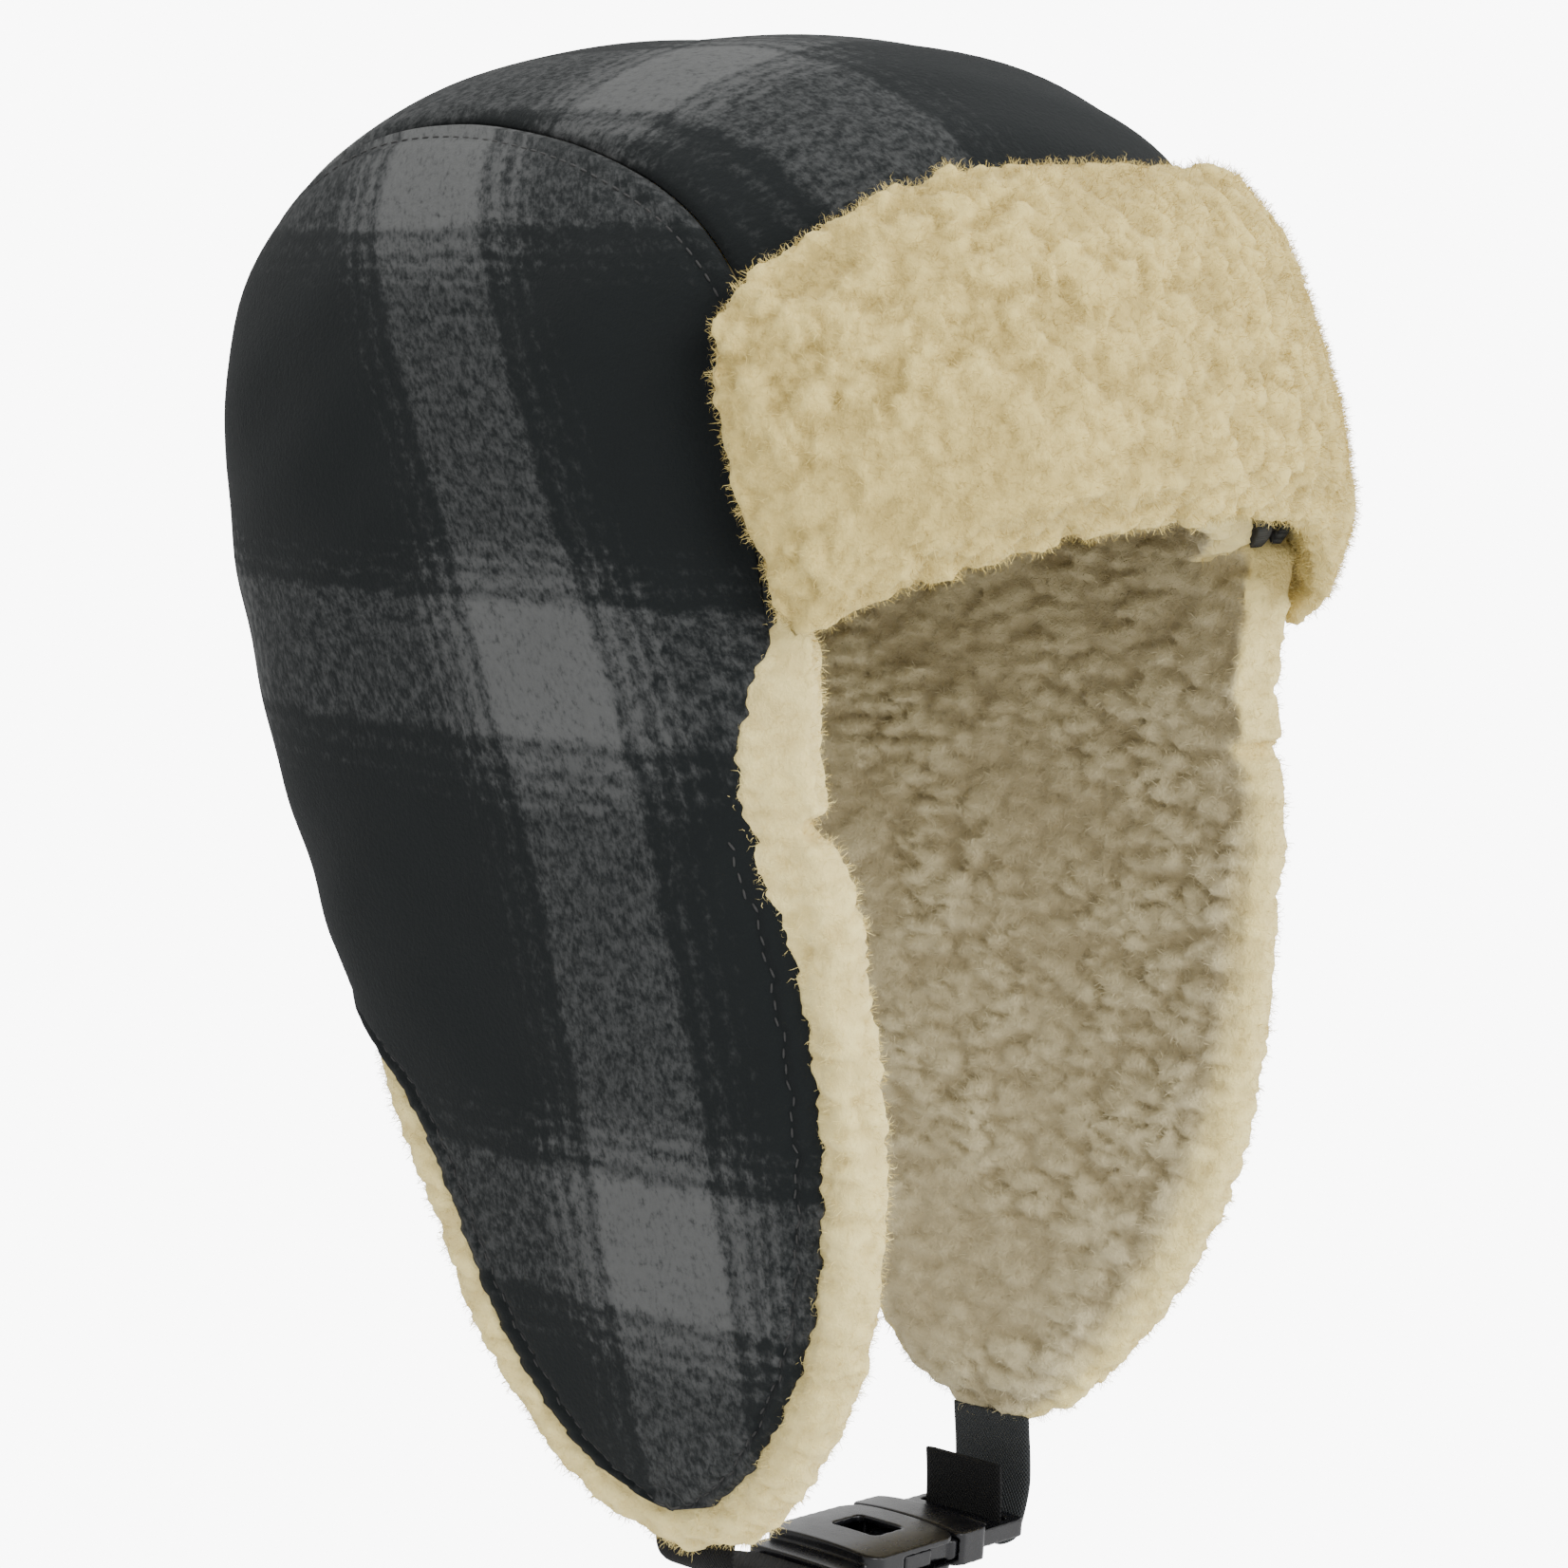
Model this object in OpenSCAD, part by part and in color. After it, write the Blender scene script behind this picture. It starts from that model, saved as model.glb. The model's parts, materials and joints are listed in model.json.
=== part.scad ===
// Trapper hat: a lined wool crown with a turned-up brim, two ear flaps and a chin strap.
// +Z is up, the face looks along -Y, and the wearer's left is +X.
// The origin is the middle of the head opening, level with the temples.

/* [Crown] */
// Half of the width over the wool
half_width = 90; // [80:1:105]
// From the origin to the front of the wool at the widest level
front_depth = 107; // [95:1:125]
// From the origin to the back of the wool at the widest level
back_depth = 105; // [95:1:120]
// Height of the widest level above the temples
wide_z = 26; // [15:1:40]
// Height of the dome above the widest level
dome_height = 84; // [70:1:110]
// How far the top of the dome leans forward
dome_lean = 3; // [0:1:25]
// Height of the lower back edge
nape_z = -83; // [-100:1:-60]
// Height of the front edge at its middle
brow_z = 20; // [10:1:26]

/* [Cloth] */
// Thickness of the wool
wool = 2; // [1:0.5:4]
// Thickness of the sherpa lining
pile = 10; // [5:1:15]
// Width of the sherpa rim beyond the wool
rim = 9; // [4:1:14]
// Gap between neighbouring layers
gap = 0.6; // [0.2:0.1:1]

/* [Ear flaps] */
// Height of the tips of the wool
tip_z = -177; // [-200:1:-150]
// How far the flaps draw in towards the tips
draw_in = 35; // [10:1:50]
// How far the shell widens to the front over the same height
flare = 60; // [0:1:80]

/* [Brim] */
// Half of the angle that the brim spans
brim_half_angle = 51; // [40:1:60]
// Height of the top edge
brim_top = 84; // [60:1:95]
// Thickness of the brim at its fold, with wool and sherpa
brim_thick = 14.5; // [11:0.5:20]

/* [Chin strap] */
// Width of the webbing
strap_width = 20; // [15:1:25]
// Thickness of the webbing
strap_thick = 1.6; // [1:0.1:2.5]
// Length of the buckle's socket
socket_length = 29; // [24:1:36]
// Width of the buckle
buckle_width = 30; // [26:1:36]
// Thickness of the buckle
buckle_thick = 9; // [7:0.5:12]
// How far the buckle tilts down towards the wearer's left
buckle_tilt = 6; // [0:1:15]

/* [Hidden] */
$fn = 48;
round_x = 2.2;          // exponents of the rounded form across, along and up
round_y = 2.7;
round_z = 2.5;
seam_steps = 30;
temple_z = 4;
flap_front = [-71, -34];        // places on the side, as [y, z]
nape_corner = [48, -83];
fold_way = (nape_corner - flap_front) / norm(nape_corner - flap_front);
flap_centre = [-24, -98];
flap_tip = [-32, tip_z];
buckle_at = [15, -34, -202];
strap_y = -34;

// ---- the shell that every cloth piece lies on ----

function mix(a, b, t) = a + (b - a) * t;
function rise(z) = max(0, (z - wide_z) / dome_height);
function drop(z) = max(0, (wide_z - z) / (wide_z - tip_z + rim));
function width_at(z) = half_width - draw_in * drop(z) ^ 1.7;
function front_at(z) = front_depth + flare * drop(z);
function back_at(z) = back_depth - 35 * min(1, 2 * drop(z)) ^ 1.5;
function lean_at(z) = dome_lean * rise(z) ^ 2;
function depth_at(y, z) = y < 0 ? front_at(z) : back_at(z);

function shell_value(p) =
    let (y = p.y + lean_at(p.z))
    abs(p.x / width_at(p.z)) ^ round_x + abs(y / depth_at(y, p.z)) ^ round_y + rise(p.z) ^ round_z;
function slope(p, step) = shell_value(p + step) - shell_value(p - step);
function normal_at(p) =
    let (g = [slope(p, [0.5, 0, 0]), slope(p, [0, 0.5, 0]), slope(p, [0, 0, 0.5])])
    g / norm(g);
function inset(p, depth) = p - depth * normal_at(p);

// A place on the left side from its [y, z]
function side_point(q) =
    let (y = q[0] + lean_at(q[1]),
        left = 1 - abs(y / depth_at(y, q[1])) ^ round_y - rise(q[1]) ^ round_z)
    [width_at(q[1]) * max(left, 0.001) ^ (1 / round_x), q[0], q[1]];

// A place on the front or back wall from its x and z
function wall_point(x, z, way) =
    let (left = max(0.001, 1 - abs(x / width_at(z)) ^ round_x))
    [x, way * (way < 0 ? front_at(z) : back_at(z)) * left ^ (1 / round_y), z];

// A place on the dome from its x and its angle, from 180 at the front to 0 at the back
function dome_point(x, angle) =
    let (deep = cos(angle) < 0 ? front_depth : back_depth,
        size = max(0.001, 1 - abs(x / half_width) ^ round_x),
        y = deep * cos(angle) * (size / full_turn(angle)) ^ (1 / round_y),
        z = wide_z + dome_height * sin(angle) * (size / full_turn(angle)) ^ (1 / round_z))
    [x, y - lean_at(z), z];
function full_turn(angle) = abs(cos(angle)) ^ round_y + abs(sin(angle)) ^ round_z;

// A smooth curve through points or numbers, where t runs from 0 to 1
function through(p, t) =
    let (n = len(p) - 1, i = min(floor(t * n), n - 1), f = t * n - i,
        a = i > 0 ? p[i - 1] : 2 * p[0] - p[1], d = i < n - 1 ? p[i + 2] : 2 * p[n] - p[n - 1],
        b = p[i], c = p[i + 1])
    0.5 * (2 * b + (c - a) * f + (2 * a - 5 * b + 4 * c - d) * f ^ 2 + (3 * b - a - 3 * c + d) * f ^ 3);

// ---- the seam between the band and each side, from the brow (0) over the top to the nape (1) ----

front_share = 0.08;
back_share = 0.34;
// Half of the band's width at even places along the seam
seam_halves = [74, 74, 70, 59, 55, 58, 60.5, 60];
function seam_half(s) = through(seam_halves, s);
function brow_at(u) = mix(brow_z, temple_z, abs(u) ^ 2.5);
function band_point(s, u) =
    let (x = u * seam_half(s))
    s < front_share ? wall_point(x, mix(brow_at(u), wide_z, s / front_share), -1)
    : s > 1 - back_share ? wall_point(x, mix(wide_z, nape_z, (s - 1 + back_share) / back_share), 1)
    : dome_point(x, 180 * (1 - (s - front_share) / (1 - front_share - back_share)));

// ---- solids from grids ----

function flat(rows) = [for (row = rows) each row];

// A solid between two grids of the same size; `outer` is the side that the normals leave
module grid_solid(outer, inner) {
    rows = len(outer);
    cols = len(outer[0]);
    far = rows * cols;
    edge = concat([for (j = [0:cols - 1]) j], [for (i = [1:rows - 1]) i * cols + cols - 1],
        [for (j = [cols - 2:-1:0]) (rows - 1) * cols + j], [for (i = [rows - 2:-1:1]) i * cols]);
    faces = concat(
        [for (i = [0:rows - 2], j = [0:cols - 2]) each let (a = i * cols + j)
            [[a, a + 1, a + cols + 1], [a, a + cols + 1, a + cols]]],
        [for (i = [0:rows - 2], j = [0:cols - 2]) each let (a = far + i * cols + j)
            [[a, a + cols + 1, a + 1], [a, a + cols, a + cols + 1]]],
        [for (k = [0:len(edge) - 1]) each let (a = edge[k], b = edge[(k + 1) % len(edge)])
            [[a, a + far, b + far], [a, b + far, b]]]);
    polyhedron(concat(flat(outer), flat(inner)), faces, convexity = 8);
}

// A solid skinned over closed rings between a first and a last point
module ring_solid(first, rings, last) {
    n = len(rings[0]);
    end = 1 + n * len(rings);
    faces = concat(
        [for (j = [0:n - 1]) [0, 1 + j, 1 + (j + 1) % n]],
        [for (i = [0:len(rings) - 2], j = [0:n - 1]) each
            let (a = 1 + i * n + j, b = 1 + i * n + (j + 1) % n) [[a, a + n, b + n], [a, b + n, b]]],
        [for (j = [0:n - 1]) [end, end - n + (j + 1) % n, end - n + j]]);
    polyhedron(concat([first], flat(rings), [last]), faces, convexity = 8);
}

// ---- crown ----

band_cols = 20;
module band(from, to) {
    function layer(depth) = [for (i = [0:seam_steps]) [for (j = [0:band_cols])
        inset(band_point(i / seam_steps, 0.995 * (1 - 2 * j / band_cols)), depth)]];
    grid_solid(layer(from), layer(to));
}

side_rows = 10;
// forward: how far the front edge stands ahead of the temple
module side(from, to, forward = 0) {
    function upper(s) = let (p = band_point(s, 1)) [p.y, p.z];
    function lower_edge(s) = mix(flap_front, nape_corner, s);
    function ahead(s, v) = -forward * max(0, 1 - s / 0.1) * (1 - v ^ 3) * fold_way;
    function layer(depth) = [for (i = [0:seam_steps]) let (s = i / seam_steps) [for (j = [0:side_rows])
        let (v = 0.992 * j / side_rows)
        inset(side_point(mix(lower_edge(s), upper(s), v) + ahead(s, v)), depth)]];
    grid_solid(layer(to), layer(from));
}

module left_side(from, to, forward = 0) side(from, to, forward);
module right_side(from, to, forward = 0) mirror([1, 0, 0]) side(from, to, forward);

module crown_band() color("#2b2f31") band(0, wool);
module left_side_panel() color("#2b2f31") left_side(0, wool);
module right_side_panel() color("#2b2f31") right_side(0, wool);
module crown_band_lining() color("#d8cba8") band(wool + gap, wool + gap + pile);
module left_side_lining() color("#d8cba8") left_side(wool + gap, wool + gap + pile, rim - 3);
module right_side_lining() color("#d8cba8") right_side(wool + gap, wool + gap + pile, rim - 3);

// ---- ear flaps ----

front_edge = [flap_front, [-77, -56], [-80, -84], [-79, -107], [-74, -131], [-62, -154], [-47, -171], flap_tip];
rear_edge = [flap_tip, [-20, -174], [-9, -168], [1, -155], [9, -138], [15, -117], [25, -98], nape_corner];
edge_steps = 22;
fold_steps = 15;
flap_outline = concat(
    [for (i = [0:edge_steps - 1]) through(front_edge, i / edge_steps)],
    [for (i = [0:edge_steps - 1]) through(rear_edge, i / edge_steps)],
    [for (i = [0:fold_steps - 1]) mix(nape_corner, flap_front, i / fold_steps)]);

// Outward direction of the outline at point i, and how far the rim is let out there
function out_at(i) =
    let (n = len(flap_outline), d = flap_outline[(i + 1) % n] - flap_outline[(i + n - 1) % n])
    [d[1], -d[0]] / norm(d);
function let_out(i) =
    let (free = 2 * edge_steps) i > free ? 0 : min(1, i / 3, (free - i) / 3);
// The flap's own points are dropped clear of the fold line
function below_fold(q) = q + 0.8 * [fold_way[1], -fold_way[0]];

function flap_ring(scale, depth, out = 0) = [for (i = [0:len(flap_outline) - 1])
    let (q = mix(flap_centre, flap_outline[i], scale) + out * let_out(i) * out_at(i))
    inset(side_point(below_fold(q)), depth)];
// A rim ring, whose depth falls back to a plain wall along the fold
function rim_ring(out, depth, plain) = [for (i = [0:len(flap_outline) - 1])
    let (m = let_out(i), q = flap_outline[i] + out * m * out_at(i))
    inset(side_point(below_fold(q)), mix(plain, depth, m))];

flap_scales = [0.18, 0.36, 0.54, 0.72, 0.88, 1];
flap_last = len(flap_scales) - 1;
module flap_wool() {
    middle = side_point(flap_centre);
    ring_solid(middle, concat([for (s = flap_scales) flap_ring(s, 0)],
        [for (k = [flap_last:-1:0]) flap_ring(flap_scales[k], wool)]), inset(middle, wool));
}

module flap_pile() {
    top = wool + gap;
    deep = top + pile;
    middle = side_point(flap_centre);
    rounded = [[1, 0.6, 0.1], [rim * 0.45, -0.2, 0.25], [rim * 0.85, 2, 0.4], [rim, pile * 0.5, 0.6],
        [rim * 0.85, pile * 0.85, 0.8], [rim * 0.4, pile + 1.5, 0.95]];
    ring_solid(inset(middle, top), concat([for (s = flap_scales) flap_ring(s, top)],
        [for (r = rounded) rim_ring(r[0], r[1], mix(top, deep, r[2]))],
        [for (k = [flap_last:-1:0]) flap_ring(flap_scales[k], deep)]), inset(middle, deep));
}

module left_flap_shell() color("#2b2f31") flap_wool();
module right_flap_shell() color("#2b2f31") mirror([1, 0, 0]) flap_wool();
module left_flap_lining() color("#d8cba8") flap_pile();
module right_flap_lining() color("#d8cba8") mirror([1, 0, 0]) flap_pile();

// ---- brim ----

brim_cols = 26;
brim_rows = 8;
brim_half_width = 94;           // the plan of the brim's inner face at the fold
brim_depth = 113;
brim_round = 2.4;
brim_set_back = 19;             // how far the top edge leans back from that
brim_top_thick = 9.5;
function brim_fold_z(u) = mix(brow_z - 1, 0, abs(u) ^ 2.5);
function brim_top_z(u) = brim_top - 28 * abs(u) ^ 3.5;
function brim_reach(v) = brim_half_angle * (1 - 0.14 * max(0, 1 - v / 0.75) ^ 1.3);
// u runs across from -1 to 1, v up from 0 to 1, and out is away from the crown
function brim_point(u, v, out) =
    let (angle = brim_reach(v) * u, back = brim_set_back * v ^ 2 * (1 - abs(u) ^ 2.5),
        r = 1 / ((abs(sin(angle)) / (brim_half_width - back)) ^ brim_round
            + (cos(angle) / (brim_depth - back)) ^ brim_round) ^ (1 / brim_round) + out)
    [r * sin(angle), -r * cos(angle), mix(brim_fold_z(u), brim_top_z(u), v)];
function edge_fall(t) = (1 - abs(2 * t - 1) ^ 6) ^ 0.5;
function brim_full(u, v) =
    let (full = mix(brim_top_thick, brim_thick, (1 - v) ^ 1.5)) mix(6, full, edge_fall(v) * (1 - abs(u) ^ 8) ^ 0.5);

module brim_layer(low, high, inner_out, is_outer) {
    function layer(out) = [for (i = [0:brim_rows]) [for (j = [0:brim_cols])
        let (v = mix(low, high, i / brim_rows), u = mix(-1, 1, j / brim_cols) * (1 - low / 2))
        brim_point(u, v, out < 0 ? brim_full(u, v) : out)]];
    grid_solid(layer(is_outer), layer(inner_out));
}

module brim_shell() color("#2b2f31") brim_layer(0.04, 0.96, 0, wool);
module brim_facing() color("#d8cba8") brim_layer(0, 1, wool + gap, -1);

// ---- chin strap ----

// A strip of webbing along a path of [x, z] points
module webbing(path) {
    n = len(path) - 1;
    function side_way(i) = let (d = path[min(i + 1, n)] - path[max(i - 1, 0)]) [-d[1], d[0]] / norm(d);
    half = strap_thick / 2;
    translate([0, strap_y, 0]) rotate([90, 0, 0]) linear_extrude(strap_width, center = true)
        polygon(concat([for (i = [0:n]) path[i] + half * side_way(i)],
            [for (i = [n:-1:0]) path[i] - half * side_way(i)]));
}

module in_buckle() translate(buckle_at) rotate([0, buckle_tilt, 0]) children();
// The [x, z] of a place in the buckle's own frame
function from_buckle(x, z) = [buckle_at.x + x * cos(buckle_tilt) + z * sin(buckle_tilt),
    buckle_at.z - x * sin(buckle_tilt) + z * cos(buckle_tilt)];

module slab(size, at, r = 1.5) translate(at) linear_extrude(size.z, center = true)
    translate(-[size.x, size.y] / 2) translate([r, r]) rounded_square([size.x - 2 * r, size.y - 2 * r], r);
module rounded_square(size, r) hull()
    for (x = [0, size.x], y = [0, size.y]) translate([x, y]) circle(r);

wall = 1.6;
socket_mid = -socket_length / 2;
arm_y = buckle_width / 2 - 3.2;

// The long strap hangs from the left tip and passes under the plug's end bar; its free end stands up
// through the slot behind that bar
module left_strap() color("#3c3f41") webbing([[47, -187.6], [47.4, -193], [47, -199],
    from_buckle(29.6, -0.6), from_buckle(28, -3), from_buckle(25.5, -3.6), from_buckle(23.4, -3.6)]);
module strap_tail() color("#151617") webbing([from_buckle(21.6, -2.2), from_buckle(21.6, 3),
    [36.9, -196], [36.6, -190.5]]);
module right_strap() color("#151617") webbing([[-52, -190.6], [-40, -192], [-30, -195], [-21.6, -198]]);

module buckle_socket() color("#0c0d0e") in_buckle() difference() {
    union() {
        slab([socket_length, buckle_width, buckle_thick], [socket_mid, 0, 0], 4);
        translate([-socket_length - 3, 0, 0]) slab([8, strap_width + 6, 4], [0, 0, 0], 1.8);
    }
    slab([socket_length, buckle_width - 2 * wall, buckle_thick - 2 * wall], [socket_mid + 2 * wall, 0, 0], 0.5);
    slab([10, 12, buckle_thick], [socket_mid + 2, 0, buckle_thick / 2], 1.5);
    for (way = [-1, 1]) translate([-9, way * buckle_width / 2, 0])
        cube([19, 8, buckle_thick - 2 * wall], center = true);
}

module buckle_plug() color("#0c0d0e") in_buckle() difference() {
    union() {
        slab([10, buckle_width, buckle_thick], [5.6, 0, 0], 2);
        slab([18, buckle_width - 4, 4.5], [18, 0, 0], 2);
        slab([20, 5, 3.5], [-8, 0, 0], 1.5);
    }
    for (x = [14.4, 21.6]) slab([3.6, strap_width + 1.5, 10], [x, 0, 0], 1);
    for (way = [-1, 1]) translate([0.6, way * arm_y, 0]) cylinder(h = buckle_thick - 2 * wall, d = 5, center = true);
}

// A squeeze arm, which turns about its root at x = 0.6
module arm(way) color("#0c0d0e") in_buckle() translate([0.6, way * arm_y, 0]) {
    cylinder(h = 5, d = 4.2, center = true);
    translate([-9, 0, 0]) cube([18, 2.2, 4.4], center = true);
    translate([-13, way * 0.6, 0]) cube([9, 3.4, 4.4], center = true);
}
module plug_arm_front() arm(-1);
module plug_arm_rear() arm(1);

crown_band();
left_side_panel();
right_side_panel();
left_flap_shell();
right_flap_shell();
brim_shell();
crown_band_lining();
left_side_lining();
right_side_lining();
left_flap_lining();
right_flap_lining();
brim_facing();
left_strap();
strap_tail();
buckle_plug();
plug_arm_front();
plug_arm_rear();
buckle_socket();
right_strap();
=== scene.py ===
"""A lined trapper hat: plaid wool outside, curly sherpa inside, a turned-up brim and a buckled chin strap.

Lengths in the classes are in millimetres; meshes are made in metres. +Z is up, the face looks along -Y
and the wearer's left is +X.
"""

from __future__ import annotations

import json
import logging
import math
from dataclasses import dataclass, field
from enum import Enum
from typing import Any, Callable, Sequence

import bmesh
import bpy
import numpy as np
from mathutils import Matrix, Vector
from mathutils.bvhtree import BVHTree

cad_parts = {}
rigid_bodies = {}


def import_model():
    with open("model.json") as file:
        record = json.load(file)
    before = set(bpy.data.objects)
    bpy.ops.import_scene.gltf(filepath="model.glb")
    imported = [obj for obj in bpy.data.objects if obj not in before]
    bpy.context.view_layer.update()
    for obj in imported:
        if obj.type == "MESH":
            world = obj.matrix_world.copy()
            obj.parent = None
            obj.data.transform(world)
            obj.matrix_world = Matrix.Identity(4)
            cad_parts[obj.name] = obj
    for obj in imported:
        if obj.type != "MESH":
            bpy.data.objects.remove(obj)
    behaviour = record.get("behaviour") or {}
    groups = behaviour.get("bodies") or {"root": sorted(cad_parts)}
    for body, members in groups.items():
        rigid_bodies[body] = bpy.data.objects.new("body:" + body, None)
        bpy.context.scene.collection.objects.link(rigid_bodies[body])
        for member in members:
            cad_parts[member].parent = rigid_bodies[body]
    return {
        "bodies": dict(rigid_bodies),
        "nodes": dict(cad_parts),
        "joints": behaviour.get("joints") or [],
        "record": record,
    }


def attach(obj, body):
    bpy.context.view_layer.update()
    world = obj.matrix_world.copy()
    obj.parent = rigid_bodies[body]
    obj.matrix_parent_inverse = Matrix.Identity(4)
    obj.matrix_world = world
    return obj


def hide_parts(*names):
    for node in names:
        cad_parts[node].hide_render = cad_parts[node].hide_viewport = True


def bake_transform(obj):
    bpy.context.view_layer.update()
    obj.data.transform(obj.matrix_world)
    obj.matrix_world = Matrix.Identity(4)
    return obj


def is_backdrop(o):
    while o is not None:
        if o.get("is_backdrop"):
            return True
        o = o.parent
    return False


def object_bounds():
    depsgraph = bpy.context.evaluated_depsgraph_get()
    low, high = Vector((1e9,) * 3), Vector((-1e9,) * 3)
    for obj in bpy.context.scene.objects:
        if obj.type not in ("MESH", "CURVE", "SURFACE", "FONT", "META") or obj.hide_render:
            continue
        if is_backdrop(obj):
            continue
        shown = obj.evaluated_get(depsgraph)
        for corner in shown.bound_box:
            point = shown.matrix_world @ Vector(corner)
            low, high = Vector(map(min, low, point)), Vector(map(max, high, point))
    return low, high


log = logging.getLogger("trapper_hat")

Grid = np.ndarray

MM = 0.001
MERGE = 1e-6  # points nearer than this, in metres, are one
CLEAR = 0.0002  # how far off a surface a probe starts, in metres


class Side(Enum):
    """The two sides of the hat, as the sign of X."""

    LEFT = 1
    RIGHT = -1

    @property
    def word(self) -> str:
        """The side's name as the nodes spell it."""
        return self.name.lower()


def mix(a: Any, b: Any, t: Any) -> Any:
    """Straight interpolation from a to b."""
    return a + (b - a) * t


def ease(t: Grid) -> Grid:
    """A smooth start and end for a share from 0 to 1."""
    return t * t * (3 - 2 * t)


def span(value: Grid, start: float, length: float) -> Grid:
    """How far a value is through a span, held between 0 and 1."""
    return np.clip((value - start) / length, 0, 1)


def length_along(p: Grid, axis: int = 0) -> Grid:
    """The length run so far along a line, or along the rows or columns of a grid."""
    step = np.linalg.norm(np.diff(p, axis=axis), axis=-1)
    return np.concatenate([np.zeros_like(np.take(step, [0], axis)), np.cumsum(step, axis=axis)], axis=axis)


def put(name: str, data: Any) -> bpy.types.Object:
    """A new object in the scene, holding a mesh, a light or a camera.

    Args:
        name: The object's name.
        data: What it holds.

    Returns:
        The object.
    """
    thing = bpy.data.objects.new(name, data)
    bpy.context.scene.collection.objects.link(thing)
    return thing


# ---------------------------------------------------------------- node building


class Wire:
    """A node socket that takes arithmetic, so shader and geometry sums read as Python."""

    def __init__(self, net: "Net", socket: Any) -> None:
        """Keeps the tree and the output socket."""
        self.net = net
        self.socket = socket

    def _math(self, operation: str, *values: Any) -> "Wire":
        """A Math node's result on numbers or wires."""
        return self.net.add("ShaderNodeMath", {"operation": operation}, dict(enumerate(values)))[0]

    def __add__(self, other: Any) -> "Wire":
        """Sum."""
        return self._math("ADD", self, other)

    __radd__ = __add__

    def __sub__(self, other: Any) -> "Wire":
        """Difference."""
        return self._math("SUBTRACT", self, other)

    def __rsub__(self, other: Any) -> "Wire":
        """Difference from a number."""
        return self._math("SUBTRACT", other, self)

    def __mul__(self, other: Any) -> "Wire":
        """Product."""
        return self._math("MULTIPLY", self, other)

    __rmul__ = __mul__

    def __pow__(self, other: Any) -> "Wire":
        """Power."""
        return self._math("POWER", self, other)

    def __abs__(self) -> "Wire":
        """Absolute value."""
        return self._math("ABSOLUTE", self)

    def sine(self) -> "Wire":
        """Sine."""
        return self._math("SINE", self)

    def wrap(self, low: float, high: float) -> "Wire":
        """The value wrapped into a span."""
        return self._math("WRAP", self, high, low)

    def high(self, other: Any) -> "Wire":
        """The larger of two."""
        return self._math("MAXIMUM", self, other)

    def low(self, other: Any) -> "Wire":
        """The smaller of two."""
        return self._math("MINIMUM", self, other)

    def step(self, low: Any, high: Any) -> "Wire":
        """A smooth step from 0 at low to 1 at high.

        Args:
            low: Where it starts, as a number or a wire.
            high: Where it ends.

        Returns:
            The step.
        """
        settings = {"interpolation_type": "SMOOTHSTEP"}
        inputs = {"Value": self, "From Min": low, "From Max": high, "To Min": 0.0, "To Max": 1.0}
        return self.net.add("ShaderNodeMapRange", settings, inputs)["Result"]


class Made:
    """A finished node, whose outputs are taken by name or number."""

    def __init__(self, net: "Net", node: Any) -> None:
        """Keeps the tree and the node."""
        self.net = net
        self.node = node

    def __getitem__(self, key: int | str) -> Wire:
        """One output as a wire."""
        return Wire(self.net, self.node.outputs[key])


class Net:
    """A node tree under construction."""

    def __init__(self, tree: bpy.types.NodeTree) -> None:
        """Keeps the tree."""
        self.tree = tree

    def fill(self, socket: Any, value: Any) -> None:
        """Links a wire to a socket, or sets the socket's own value."""
        if isinstance(value, Wire):
            self.tree.links.new(value.socket, socket)
        else:
            socket.default_value = value

    def add(
        self, kind: str, settings: dict[str, Any] | None = None, inputs: dict[Any, Any] | None = None
    ) -> Made:
        """Adds a node, sets it up, then fills its sockets.

        Args:
            kind: The node's type.
            settings: Its own properties, set before the sockets.
            inputs: Values or wires, by socket name or number.

        Returns:
            The finished node.
        """
        node = self.tree.nodes.new(kind)
        for name, value in (settings or {}).items():
            setattr(node, name, value)
        for key, value in (inputs or {}).items():
            self.fill(node.inputs[key], value)
        return Made(self, node)

    def vector(self, operation: str, *values: Any) -> Wire:
        """A Vector Math node's result."""
        return self.add("ShaderNodeVectorMath", {"operation": operation}, dict(enumerate(values)))[0]

    def blend(self, factor: Any, a: Any, b: Any) -> Wire:
        """A colour mix from a to b.

        Args:
            factor: The share of b.
            a: A colour or a wire.
            b: A colour or a wire.

        Returns:
            The mixed colour.
        """
        made = self.add("ShaderNodeMix", {"data_type": "RGBA"}, {0: factor})
        for index, value in ((6, a), (7, b)):
            self.fill(made.node.inputs[index], value if isinstance(value, Wire) else (*value, 1.0))
        return made[2]

    def noise(self, place: Wire, scale: float, detail: float = 2.0, rough: float = 0.5) -> Wire:
        """Noise at a place, from 0 to 1."""
        inputs = {"Vector": place, "Scale": scale, "Detail": detail, "Roughness": rough}
        return self.add("ShaderNodeTexNoise", {}, inputs)[0]

    def drift(self, place: Wire, scale: float, detail: float) -> Wire:
        """Noise with three parts, which carries a place off its course."""
        return self.add("ShaderNodeTexNoise", {}, {"Vector": place, "Scale": scale, "Detail": detail})[1]

    def bump(self, height: Wire, strength: float, distance: float) -> Wire:
        """The surface's normal over a fine relief, whose depth is in metres."""
        inputs = {"Strength": strength, "Distance": distance, "Height": height}
        return self.add("ShaderNodeBump", {}, inputs)[0]

    def attribute(self, name: str) -> Wire:
        """A number kept on the mesh, for a material."""
        return self.add("ShaderNodeAttribute", {"attribute_name": name})[2]

    def kept(self, name: str) -> Wire:
        """A number kept on the mesh, for geometry."""
        return self.add("GeometryNodeInputNamedAttribute", {"data_type": "FLOAT"}, {"Name": name})[0]


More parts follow.
